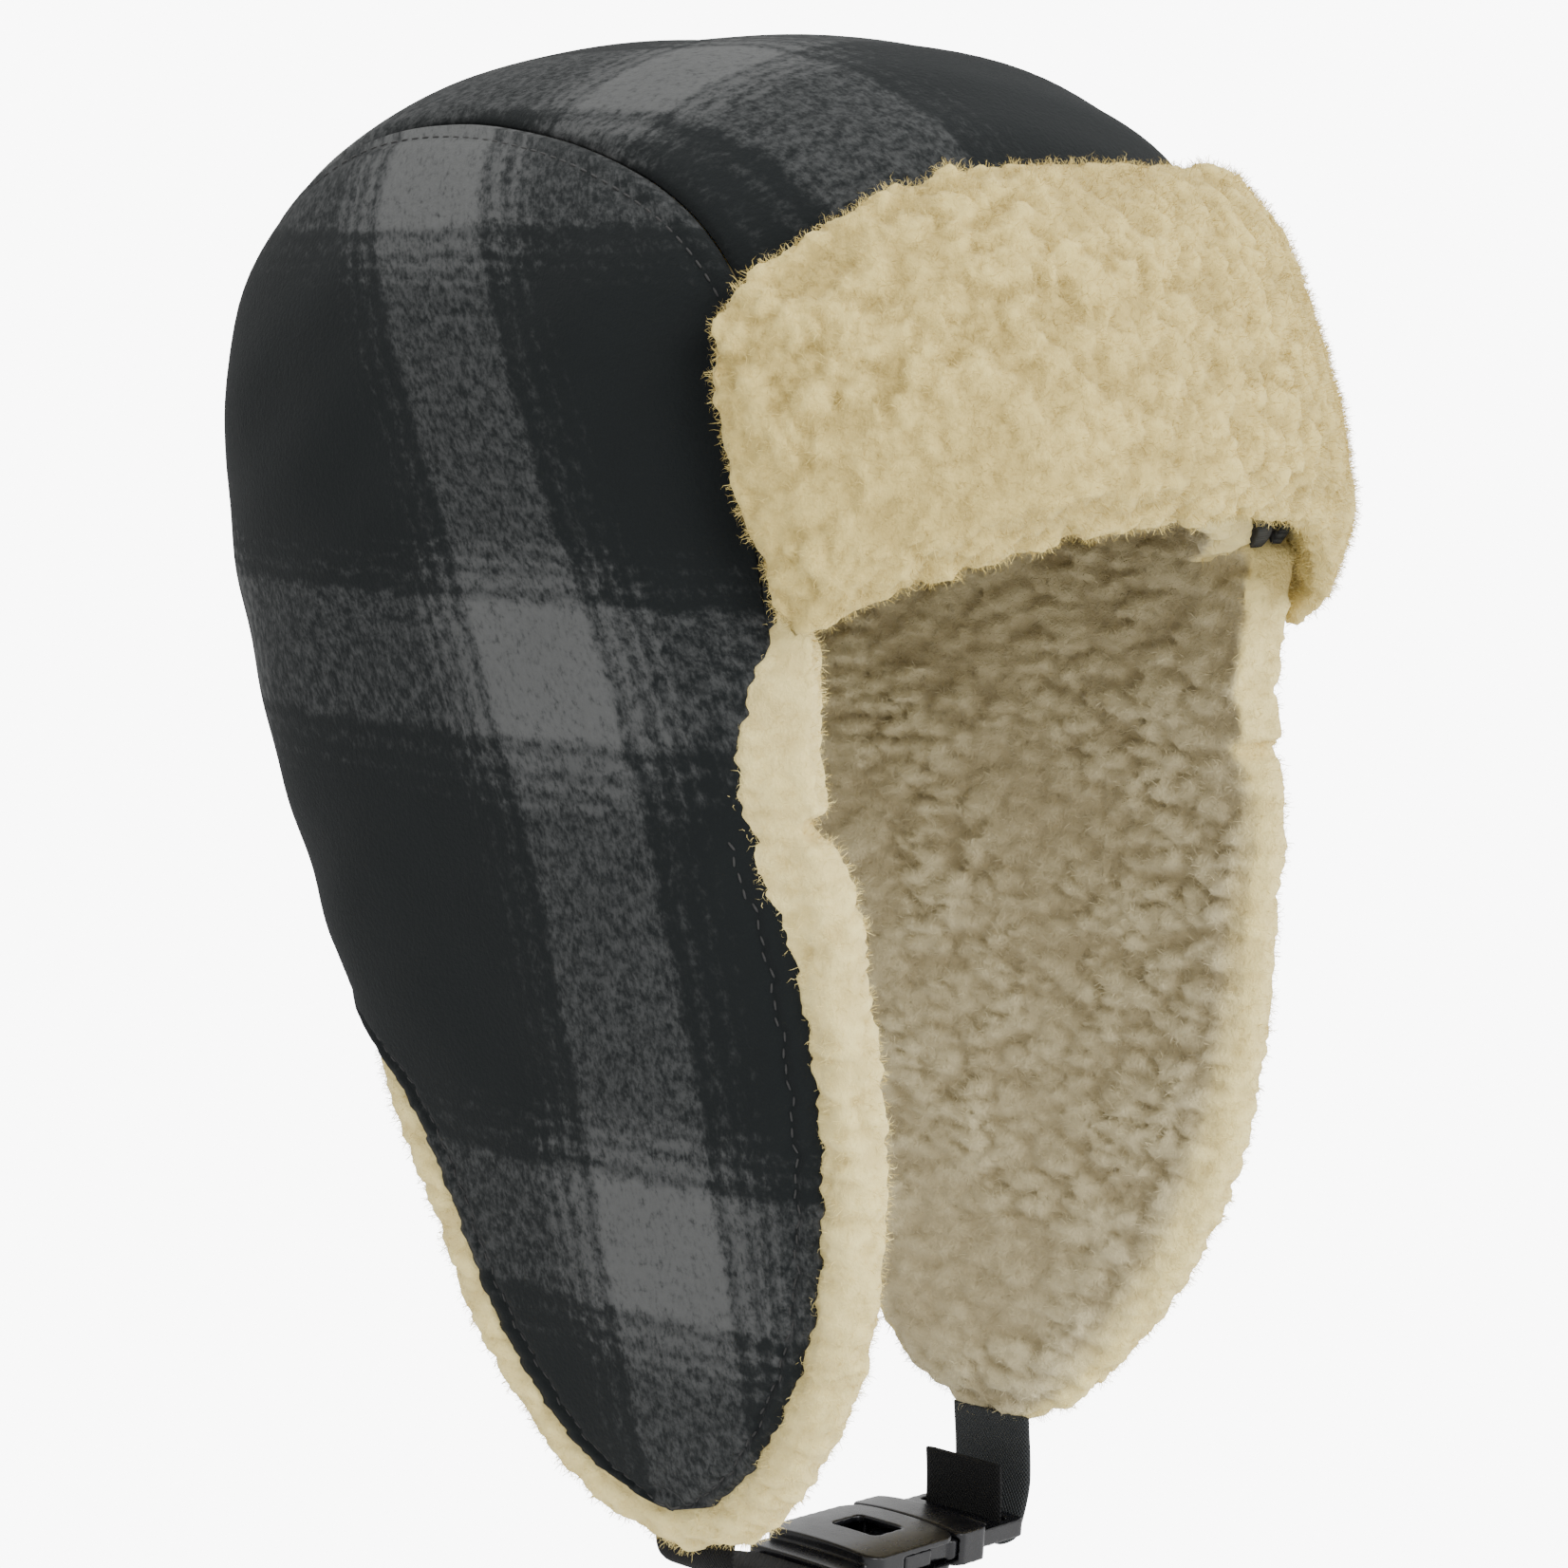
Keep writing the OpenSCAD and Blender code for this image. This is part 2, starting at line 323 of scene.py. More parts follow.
@dataclass(frozen=True)
class Finish:
    """What every surface finish shares: its name and how its material starts and ends."""

    name: str

    def start(self) -> tuple[bpy.types.Material, Net]:
        """Makes the material with its shader, and gives both.

        Returns:
            The material and its tree, with the shader in it.
        """
        material = bpy.data.materials.new(self.name)
        material.use_nodes = True
        return material, Net(material.node_tree)

    @staticmethod
    def finish(net: Net, values: dict[str, Any]) -> None:
        """Fills the shader's sockets with wires or with values that are the same all over."""
        shader = net.tree.nodes["Principled BSDF"]
        for name, value in values.items():
            net.fill(shader.inputs[name], value)


@dataclass(frozen=True)
class PlaidWool(Finish):
    """Fulled plaid wool, patterned from the cloth's own map, whose unit is one metre of cloth.

    A pale stripe has a core, a faint halo beside it and three thin lines further out. Each line is given by
    where it starts and ends from the stripe's middle and by its strength.
    """

    repeat: float = 0.112
    core: float = 0.0148
    core_edge: tuple[float, float] = (0.0022, 0.0010)
    halo: float = 0.24
    halo_reach: float = 0.0150
    lines: tuple[tuple[float, float, float], ...] = (
        (0.0168, 0.0198, 0.46),
        (0.0218, 0.0236, 0.44),
        (0.0256, 0.0270, 0.32),
    )
    line_edge: float = 0.0010
    stray: tuple[float, float, float] = (0.0034, 0.0048, 0.0)
    base: tuple[float, float, float] = (0.0066, 0.0081, 0.0084)
    grey: tuple[float, float, float] = (0.047, 0.049, 0.049)
    pale: tuple[float, float, float] = (0.088, 0.090, 0.089)

    def stripes(self, along: Wire) -> Wire:
        """How much pale yarn runs at a place across the stripes.

        Args:
            along: The cloth coordinate, in metres.

        Returns:
            A value from 0 to 1.
        """
        off = abs(along.wrap(-self.repeat / 2, self.repeat / 2))
        total = 1 - off.step(self.core - self.core_edge[0], self.core + self.core_edge[1])
        halo = (1 - off.step(self.core, self.core + self.halo_reach)) * self.halo
        edge = self.line_edge
        for start, end, level in self.lines:
            line = off.step(start - edge, start + edge) * (1 - off.step(end - edge, end + edge))
            total = total + line * level
        return total.high(0.0) + halo * (1 - total).high(0.0)

    def build(self) -> bpy.types.Material:
        """Makes the material.

        Returns:
            The material.
        """
        material, net = self.start()
        place = net.add("ShaderNodeTexCoord")["Object"]
        spot = net.add("ShaderNodeUVMap", {"uv_map": "cloth"})[0]
        # single yarns stray off their stripe
        centred = net.vector("SUBTRACT", net.drift(spot, 330.0, 4.0), (0.5, 0.5, 0.5))
        strayed = net.vector("MULTIPLY_ADD", centred, self.stray, spot)
        parts = net.add("ShaderNodeSeparateXYZ", {}, {0: strayed})
        up, across = self.stripes(parts[0]), self.stripes(parts[1])
        # pale yarn shows only where it lies on top; where both stripes cross, nearly everywhere
        stretched = net.vector("MULTIPLY", spot, (1.0, 0.5, 1.0))
        fleck = net.noise(stretched, 1100.0, 5.0, 0.7) * 0.6 + net.noise(spot, 320.0, 3.0, 0.6) * 0.4
        share = 0.66 - (up + across * 0.85) * 0.16
        shown = fleck.step(share - 0.13, share + 0.13) * (up + across).low(1.0)
        yarn = net.blend(up * across * (0.55 + fleck * 0.9).low(1.0), self.grey, self.pale)
        dark = net.blend(net.noise(place, 70.0, 3.0), self.base, tuple(1.25 * c for c in self.base))
        hairs = net.noise(place, 1900.0, 3.0, 0.7).step(0.64, 0.80) * 0.10
        height = net.noise(place, 1100.0, 4.0, 0.65) + net.noise(place, 150.0, 2.0, 0.5) * 0.8
        self.finish(net, {
            "Base Color": net.blend((shown * (0.62 + fleck * 0.6) + hairs).low(1.0), dark, yarn),
            "Roughness": 0.95,
            "Specular IOR Level": 0.12,
            "Sheen Weight": 0.02,
            "Sheen Roughness": 0.6,
            "Normal": net.bump(height, 0.4, 0.0008),
        })
        return material


@dataclass(frozen=True)
class Sherpa(Finish):
    """Curly cream pile with painted shade: darker in the hollows between its curls, and darker and greyer
    where it faces into the hat.
    """

    # lit colours the curl tops and deep the hollows, darker as painted shade; the next two colours are
    # painted shade for pile facing into the hat
    lit: tuple[float, float, float] = (0.70, 0.562, 0.208)
    deep: tuple[float, float, float] = (0.51, 0.395, 0.140)
    worn: tuple[float, float, float] = (0.59, 0.520, 0.325)
    worn_deep: tuple[float, float, float] = (0.41, 0.345, 0.205)

    def build(self) -> bpy.types.Material:
        """Makes the material.

        Returns:
            The material.
        """
        material, net = self.start()
        place = net.add("ShaderNodeTexCoord")["Object"]
        mottle = net.noise(place, 55.0, 3.0, 0.6)
        fibre = net.noise(place, 1300.0, 3.0, 0.7)
        # painted shade: the pile's hollows are darker, with random mottling and fibre tone over it
        shade = (net.attribute("pile") * 0.8 + mottle * 0.5 + fibre * 0.3 - 0.3).step(0.0, 0.9)
        outside_tone = net.blend(shade, self.deep, self.lit)
        painted_inside_shade = net.blend(shade, self.worn_deep, self.worn)
        height = fibre + net.noise(place, 420.0, 3.0, 0.6) * 1.2
        # painted shade: pile that faces into the hat is darker and greyer
        self.finish(net, {
            "Base Color": net.blend(net.attribute("inside"), outside_tone, painted_inside_shade),
            "Roughness": 1.0,
            "Specular IOR Level": 0.05,
            "Sheen Weight": 0.12,
            "Sheen Roughness": 0.5,
            "Normal": net.bump(height, 0.6, 0.0009),
        })
        return material


@dataclass(frozen=True)
class Webbing(Finish):
    """Flat woven webbing, ribbed across its width."""

    colour: tuple[float, float, float]
    rib: float = 0.0011

    def build(self) -> bpy.types.Material:
        """Makes the material.

        Returns:
            The material.
        """
        material, net = self.start()
        spot = net.add("ShaderNodeUVMap", {"uv_map": "cloth"})[0]
        parts = net.add("ShaderNodeSeparateXYZ", {}, {0: spot})
        turn = 2 * math.pi / self.rib
        weave = (parts[0] * turn).sine() * (parts[1] * turn * 1.4).sine()
        pale = tuple(1.7 * c + 0.002 for c in self.colour)
        self.finish(net, {
            "Base Color": net.blend(weave * 0.5 + 0.5, self.colour, pale),
            "Roughness": 0.75,
            "Specular IOR Level": 0.15,
            "Normal": net.bump(weave + net.noise(spot, 3000.0) * 0.5, 0.7, 0.0003),
        })
        return material


@dataclass(frozen=True)
class Moulded(Finish):
    """Glossy black moulded plastic with faint handling marks."""

    colour: tuple[float, float, float] = (0.004, 0.004, 0.005)

    def build(self) -> bpy.types.Material:
        """Makes the material.

        Returns:
            The material.
        """
        material, net = self.start()
        place = net.add("ShaderNodeTexCoord")["Object"]
        smear = net.noise(place, 220.0, 4.0, 0.6)
        grey = tuple(2.2 * c for c in self.colour)
        self.finish(net, {
            "Base Color": net.blend(smear.step(0.45, 0.8), self.colour, grey),
            "Roughness": 0.16 + smear * 0.2,
            "Specular IOR Level": 0.35,
            "Normal": net.bump(net.noise(place, 900.0), 0.12, 0.0002),
        })
        return material


@dataclass(frozen=True)
class Thread(Finish):
    """Twisted sewing thread."""

    colour: tuple[float, float, float] = (0.030, 0.030, 0.029)

    def build(self) -> bpy.types.Material:
        """Makes the material.

        Returns:
            The material.
        """
        material, net = self.start()
        place = net.add("ShaderNodeTexCoord")["Object"]
        dark = tuple(0.45 * c for c in self.colour)
        colour = net.blend(net.noise(place, 2600.0, 2.0), dark, self.colour)
        self.finish(net, {"Base Color": colour, "Roughness": 0.75})
        return material


# ---------------------------------------------------------------- the shell under the cloth


@dataclass(frozen=True)
class Shell:
    """The rounded form that every cloth piece lies on, in millimetres."""

    half_width: float = 90.0
    front_depth: float = 107.0
    back_depth: float = 105.0
    wide_z: float = 26.0
    dome_height: float = 84.0
    dome_lean: float = 3.0
    tip_z: float = -177.0
    rim: float = 9.0
    draw_in: float = 35.0
    flare: float = 60.0
    tuck: float = 35.0
    round_x: float = 2.2
    round_y: float = 2.7
    round_z: float = 2.5

    def rise(self, z: Grid) -> Grid:
        """How far up the dome a height is, from 0 to 1."""
        return np.maximum(0.0, (z - self.wide_z) / self.dome_height)

    def drop(self, z: Grid) -> Grid:
        """How far down towards the flap tips a height is, from 0 to 1."""
        return np.maximum(0.0, (self.wide_z - z) / (self.wide_z - self.tip_z + self.rim))

    def width_at(self, z: Grid) -> Grid:
        """Half of the width at a height."""
        return self.half_width - self.draw_in * self.drop(z) ** 1.7

    def depth_at(self, y: Grid, z: Grid) -> Grid:
        """Depth to the front or back at a height.

        Args:
            y: Which way it lies: in front where this is below 0.
            z: The height.

        Returns:
            The depth.
        """
        front = self.front_depth + self.flare * self.drop(z)
        back = self.back_depth - self.tuck * np.minimum(1.0, 2.0 * self.drop(z)) ** 1.5
        return np.where(y < 0, front, back)

    def value(self, p: Grid) -> Grid:
        """The form's own function, which is 1 on its surface.

        Args:
            p: Points.

        Returns:
            A value for each point.
        """
        z = p[..., 2]
        y = p[..., 1] + self.dome_lean * self.rise(z) ** 2
        return (
            np.abs(p[..., 0] / self.width_at(z)) ** self.round_x
            + np.abs(y / self.depth_at(y, z)) ** self.round_y
            + self.rise(z) ** self.round_z
        )

    def inset(self, p: Grid, depth: Grid | float) -> Grid:
        """Points moved in from the surface.

        Args:
            p: Points on the surface.
            depth: How far in, as one length or a length for each point.

        Returns:
            The moved points.
        """
        slope = np.stack([self.value(p + 0.5 * e) - self.value(p - 0.5 * e) for e in np.eye(3)], -1)
        slope = slope / np.linalg.norm(slope, axis=-1, keepdims=True)
        return p - slope * np.asarray(depth)[..., None]

    def from_side(self, y: Grid, z: Grid) -> Grid:
        """Surface points on the left from their side view.

        Args:
            y: Places to the back.
            z: Heights.

        Returns:
            The points.
        """
        back = y + self.dome_lean * self.rise(z) ** 2
        left = 1 - np.abs(back / self.depth_at(back, z)) ** self.round_y - self.rise(z) ** self.round_z
        x = self.width_at(z) * np.maximum(left, 0.001) ** (1 / self.round_x)
        return np.stack([x, y, z], -1)

    def wall(self, x: Grid, z: Grid, way: int) -> Grid:
        """Surface points on the front (-1) or back (1) wall.

        Args:
            x: Places to the left.
            z: Heights.
            way: Which wall.

        Returns:
            The points.
        """
        left = np.maximum(0.001, 1 - np.abs(x / self.width_at(z)) ** self.round_x)
        y = way * self.depth_at(np.full_like(x, way), z) * left ** (1 / self.round_y)
        return np.stack([x, y, z], -1)

    def dome(self, x: Grid, angle: Grid) -> Grid:
        """Surface points on the dome, from 180 degrees at the front to 0 at the back.

        Args:
            x: Places to the left.
            angle: Angles over the dome, in degrees.

        Returns:
            The points.
        """
        c, s = np.cos(np.radians(angle)), np.abs(np.sin(np.radians(angle)))
        deep = np.where(c < 0, self.front_depth, self.back_depth)
        size = np.maximum(0.001, 1 - np.abs(x / self.half_width) ** self.round_x)
        size = size / (np.abs(c) ** self.round_y + s**self.round_z)
        z = self.wide_z + self.dome_height * s * size ** (1 / self.round_z)
        y = deep * c * size ** (1 / self.round_y) - self.dome_lean * self.rise(z) ** 2
        return np.stack([x, y, z], -1)


SHELL = Shell()


def through(points: Sequence[Any], t: Grid) -> Grid:
    """A smooth curve through points or numbers.

    Args:
        points: The places it passes.
        t: Where to read it, 0 to 1.

    Returns:
        Places on the curve.
    """
    p = np.array(points, float)
    p = np.concatenate([[2 * p[0] - p[1]], p, [2 * p[-1] - p[-2]]])
    n = len(points) - 1
    i = np.minimum((t * n).astype(int), n - 1)
    f = t * n - i
    f = f[..., None] if p.ndim > 1 else f
    a, b, c, d = p[i], p[i + 1], p[i + 2], p[i + 3]
    return 0.5 * (2 * b + (c - a) * f + (2 * a - 5 * b + 4 * c - d) * f**2 + (3 * b - a - 3 * c + d) * f**3)


@dataclass(frozen=True)
class Seam:
    """The seam between the crown band and a side, from the brow (0) over the top to the nape (1)."""

    brow_z: float = 20.0
    temple_z: float = 4.0
    nape_z: float = -83.0
    front_share: float = 0.08
    back_share: float = 0.34
    halves: tuple[float, ...] = (74.0, 74.0, 70.0, 59.0, 55.0, 58.0, 60.5, 60.0)

    def half(self, s: Grid) -> Grid:
        """Half of the band's width along the seam."""
        return through(self.halves, s)

    def band(self, s: Grid, u: Grid) -> Grid:
        """Points of the band.

        Args:
            s: Places along it, 0 to 1.
            u: Places across it, -1 to 1.

        Returns:
            Surface points.
        """
        x = u * self.half(s)
        brow = mix(self.brow_z, self.temple_z, np.abs(u) ** 2.5)
        front = SHELL.wall(x, mix(brow, SHELL.wide_z, np.clip(s / self.front_share, 0, 1)), -1)
        down = np.clip((s - 1 + self.back_share) / self.back_share, 0, 1)
        back = SHELL.wall(x, mix(SHELL.wide_z, self.nape_z, down), 1)
        share = (s - self.front_share) / (1 - self.front_share - self.back_share)
        top = SHELL.dome(x, 180 * (1 - np.clip(share, 0, 1)))
        pick = np.where(s < self.front_share, 0, np.where(s > 1 - self.back_share, 2, 1))[..., None]
        return np.where(pick == 0, front, np.where(pick == 2, back, top))


SEAM = Seam()


# ---------------------------------------------------------------- meshes


def new_object(name: str, points: Grid, faces: Sequence[Sequence[int]]) -> bpy.types.Object:
    """Makes a smooth mesh object in metres.

    Args:
        name: The piece's name.
        points: Places in millimetres.
        faces: Corner numbers of each face.

    Returns:
        The object, linked to the scene.
    """
    mesh = bpy.data.meshes.new(name)
    mesh.from_pydata((points.reshape(-1, 3) * MM).tolist(), [], [list(f) for f in faces])
    mesh.validate()
    mesh.shade_smooth()
    return put(name, mesh)


def outward(thing: bpy.types.Object) -> None:
    """Merges a mesh's doubles and turns its faces outwards.

    Args:
        thing: The object whose mesh is mended.
    """
    bm = bmesh.new()
    bm.from_mesh(thing.data)
    bmesh.ops.remove_doubles(bm, verts=bm.verts, dist=MERGE)
    bmesh.ops.dissolve_degenerate(bm, edges=bm.edges, dist=MERGE / 10)
    bmesh.ops.recalc_face_normals(bm, faces=bm.faces)
    bm.to_mesh(thing.data)
    bm.free()


def cloth_solid(name: str, outer: Grid, inner: Grid, cloth: Grid) -> bpy.types.Object:
    """A closed piece of cloth between two grids.

    Args:
        name: The piece's name.
        outer: Outer points, rows by columns.
        inner: Inner points, the same size.
        cloth: Where each point lies on the flat cloth, in metres.

    Returns:
        The piece, with its cloth map.
    """
    rows, cols = outer.shape[:2]
    far = rows * cols
    at = np.arange(far).reshape(rows, cols)
    quads = np.stack([at[:-1, :-1], at[:-1, 1:], at[1:, 1:], at[1:, :-1]], -1).reshape(-1, 4)
    edge = np.concatenate([at[0], at[1:, -1], at[-1, -2::-1], at[-2:0:-1, 0]])
    after = np.roll(edge, -1)
    walls = np.stack([edge, edge + far, after + far, after], -1)
    faces = np.vstack([quads, quads[:, ::-1] + far, walls])
    thing = new_object(name, np.concatenate([outer.reshape(-1, 3), inner.reshape(-1, 3)]), faces.tolist())
    layer = thing.data.uv_layers.new(name="cloth")
    both = np.concatenate([cloth.reshape(-1, 2)] * 2)
    corner = np.zeros(len(thing.data.loops), np.int32)
    thing.data.loops.foreach_get("vertex_index", corner)
    layer.data.foreach_set("uv", both[corner].astype(np.float32).ravel())
    outward(thing)
    return thing


def flattened(thing: bpy.types.Object) -> bpy.types.Object:
    """Turns an object's modifiers into a plain mesh.

    Args:
        thing: The object.

    Returns:
        A new object with the finished mesh; the old one is removed.
    """
    graph = bpy.context.evaluated_depsgraph_get()
    mesh = bpy.data.meshes.new_from_object(
        thing.evaluated_get(graph), preserve_all_data_layers=True, depsgraph=graph
    )
    mesh.name = name = thing.name
    bpy.data.objects.remove(thing)
    return put(name, mesh)


def node_group(name: str, floats: Sequence[str], whole: Sequence[str] = ()) -> tuple[Any, Net, Made]:
    """Starts a geometry group with named inputs.

    Args:
        name: The group's name.
        floats: The names of its lengths and densities.
        whole: The names of its whole numbers.

    Returns:
        The group, its net and its input node.
    """
    group = bpy.data.node_groups.new(name, "GeometryNodeTree")
    group.interface.new_socket("Geometry", in_out="INPUT", socket_type="NodeSocketGeometry")
    for kind, names in (("NodeSocketFloat", floats), ("NodeSocketInt", whole)):
        for label in names:
            group.interface.new_socket(label, in_out="INPUT", socket_type=kind)
    group.interface.new_socket("Geometry", in_out="OUTPUT", socket_type="NodeSocketGeometry")
    net = Net(group)
    return group, net, net.add("NodeGroupInput")


def run_group(thing: bpy.types.Object, group: Any, values: dict[str, float]) -> bpy.types.Object:
    """Runs a geometry group on an object.

    Args:
        thing: The object, which is removed.
        group: The group.
        values: Its inputs by name.

    Returns:
        The result as a plain mesh object.
    """
    modifier = thing.modifiers.new(group.name, "NODES")
    modifier.node_group = group
    for item in group.interface.items_tree:
        if item.in_out == "INPUT" and item.name in values:
            modifier[item.identifier] = values[item.name]
    return flattened(thing)


def ripple(p: Grid, height: float, length: float, seed: float) -> Grid:
    """Soft undulation of hand-sewn cloth.

    Args:
        p: Points.
        height: Its most height.
        length: Its wave length.
        seed: Shifts the waves.

    Returns:
        A height for each point.
    """
    x, y, z = np.moveaxis(p * (2 * math.pi / length), -1, 0)
    wave = np.sin(y + 1.3 * np.sin(0.6 * z + seed) + seed) * np.sin(0.8 * z + 1.1 * np.sin(0.7 * y - seed))
    return height * (0.7 * wave + 0.3 * np.sin(1.9 * y + 2.3 * z + x + 2.0 * seed))


def pinch(distance: Grid, depth: float, reach: float) -> Grid:
    """How far cloth dips near a line of sewing at a distance."""
    return depth * np.exp(-((distance / reach) ** 2))


@dataclass
class Workshop:
    """Holds the finishes and puts pieces on the frame."""

    finishes: dict[str, bpy.types.Material] = field(default_factory=dict)
    made: int = 0

    def dress(self, thing: bpy.types.Object, finish: str, slot: str) -> None:
        """Gives a piece its finish.

        Args:
            thing: The piece.
            finish: The finish's name here.
            slot: The record's slot; not used.
        """
        thing.data.materials.clear()
        thing.data.materials.append(self.finishes[finish])

    def settle(self, thing: bpy.types.Object, body: str, nodes: Sequence[str] = ()) -> None:
        """Rides a finished piece on a body and hides the nodes that it stands for."""
        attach(thing, body)
        self.enter(thing, body, nodes)

    def enter(self, thing: bpy.types.Object, body: str, nodes: Sequence[str]) -> None:
        """Hides the nodes that a piece stands for, and reports the piece.

        Args:
            thing: The piece.
            body: The body that it rides on or bends to.
            nodes: The nodes.
        """
        if nodes:
            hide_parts(*nodes)
        self.made += 1
        log.info("%s: %d faces on %s", thing.name, len(thing.data.polygons), body)


# ---------------------------------------------------------------- sherpa


def even_solid(
    name: str, nodes: Sequence[bpy.types.Object], voxel: float, swell: float, soft: int
) -> bpy.types.Object:
    """One even, softened mesh over some solids.

    Args:
        name: The piece's name.
        nodes: The solids it follows.
        voxel: The mesh's cell, in millimetres.
        swell: How far it stands over them, which closes the gaps between them.
        soft: How many rounds of smoothing it gets.

    Returns:
        The piece.
    """
    bm = bmesh.new()
    for node in nodes:
        bm.from_mesh(node.data)
    bmesh.ops.remove_doubles(bm, verts=bm.verts, dist=MERGE)
    bmesh.ops.recalc_face_normals(bm, faces=bm.faces)
    mesh = bpy.data.meshes.new(name)
    bm.to_mesh(mesh)
    bm.free()
    thing = put(name, mesh)
    push = thing.modifiers.new("swell", "DISPLACE")
    push.strength = swell * MM
    push.mid_level = 0.0
    cut = thing.modifiers.new("even", "REMESH")
    cut.mode = "VOXEL"
    cut.voxel_size = voxel * MM
    smooth = thing.modifiers.new("soft", "SMOOTH")
    smooth.factor = 0.5
    smooth.iterations = soft
    made = flattened(thing)
    made.data.shade_smooth()
    return made


def points_of(mesh: bpy.types.Mesh) -> Grid:
    """A mesh's points, in millimetres.

    Args:
        mesh: The mesh.

    Returns:
        The points, a row each.
    """
    p = np.zeros(3 * len(mesh.vertices), np.float32)
    mesh.vertices.foreach_get("co", p)
    return p.reshape(-1, 3).astype(float) / MM


def move_points(mesh: bpy.types.Mesh, p: Grid) -> None:
    """Puts a mesh's points at new places, in millimetres."""
    mesh.vertices.foreach_set("co", (p * MM).astype(np.float32).ravel())
    mesh.update()


def store(mesh: bpy.types.Mesh, name: str, values: Grid) -> None:
    """Keeps one number for each point of a mesh."""
    mesh.attributes.new(name, "FLOAT", "POINT").data.foreach_set("value", values.astype(np.float32))


def facing_in(mesh: bpy.types.Mesh) -> Grid:
    """How much each point faces the middle of the head, from 0 to 1.

    Args:
        mesh: The mesh.

    Returns:
        A share for each point.
    """
    p = points_of(mesh)
    normal = np.zeros(3 * len(mesh.vertices), np.float32)
    mesh.vertex_normals.foreach_get("vector", normal)
    middle = np.stack([np.zeros(len(p)), np.full(len(p), -20.0), np.minimum(p[:, 2], 10.0)], -1)
    way = middle - p
    way /= np.maximum(np.linalg.norm(way, axis=1, keepdims=True), 1.0)
    return ease(span(np.sum(way * normal.reshape(-1, 3), axis=1), 0.15, 0.6))


@dataclass
class Cover:
    """Everything that can lie over a pile, for telling its bare surface."""

    tree: BVHTree

    @classmethod
    def over(cls, things: Sequence[bpy.types.Object]) -> "Cover":
        """Gathers the meshes of some objects.

        Args:
            things: Objects at the origin.

        Returns:
            The cover.
        """
        points: list[Vector] = []
        faces: list[list[int]] = []
        for thing in things:
            base = len(points)
            points += [v.co.copy() for v in thing.data.vertices]
            faces += [[base + i for i in face.vertices] for face in thing.data.polygons]
        return cls(BVHTree.FromPolygons(points, faces))

    def mark(self, mesh: bpy.types.Mesh, reach: float = 7.0, rounds: int = 2) -> None:
        """Stores which points are open, and how bare they are from 0 beside a cover to 1 well away from it.

        Args:
            mesh: The mesh to mark.
            reach: How near a cover counts, in millimetres.
            rounds: How many edges wide the change is.
        """
        hit = self.tree.ray_cast
        bare = np.array(
            [hit(v.co + v.normal * CLEAR, v.normal, reach * MM)[0] is None for v in mesh.vertices], float
        )
        ends = np.zeros(2 * len(mesh.edges), np.int32)
        mesh.edges.foreach_get("vertices", ends)
        a, b = ends.reshape(-1, 2).T
        count = np.bincount(a, minlength=len(bare)) + np.bincount(b, minlength=len(bare))
        store(mesh, "open", bare)
        for _ in range(rounds):
            total = np.bincount(a, bare[b], len(bare)) + np.bincount(b, bare[a], len(bare))
            bare = np.minimum(bare, total / np.maximum(count, 1))
        store(mesh, "bare", bare)


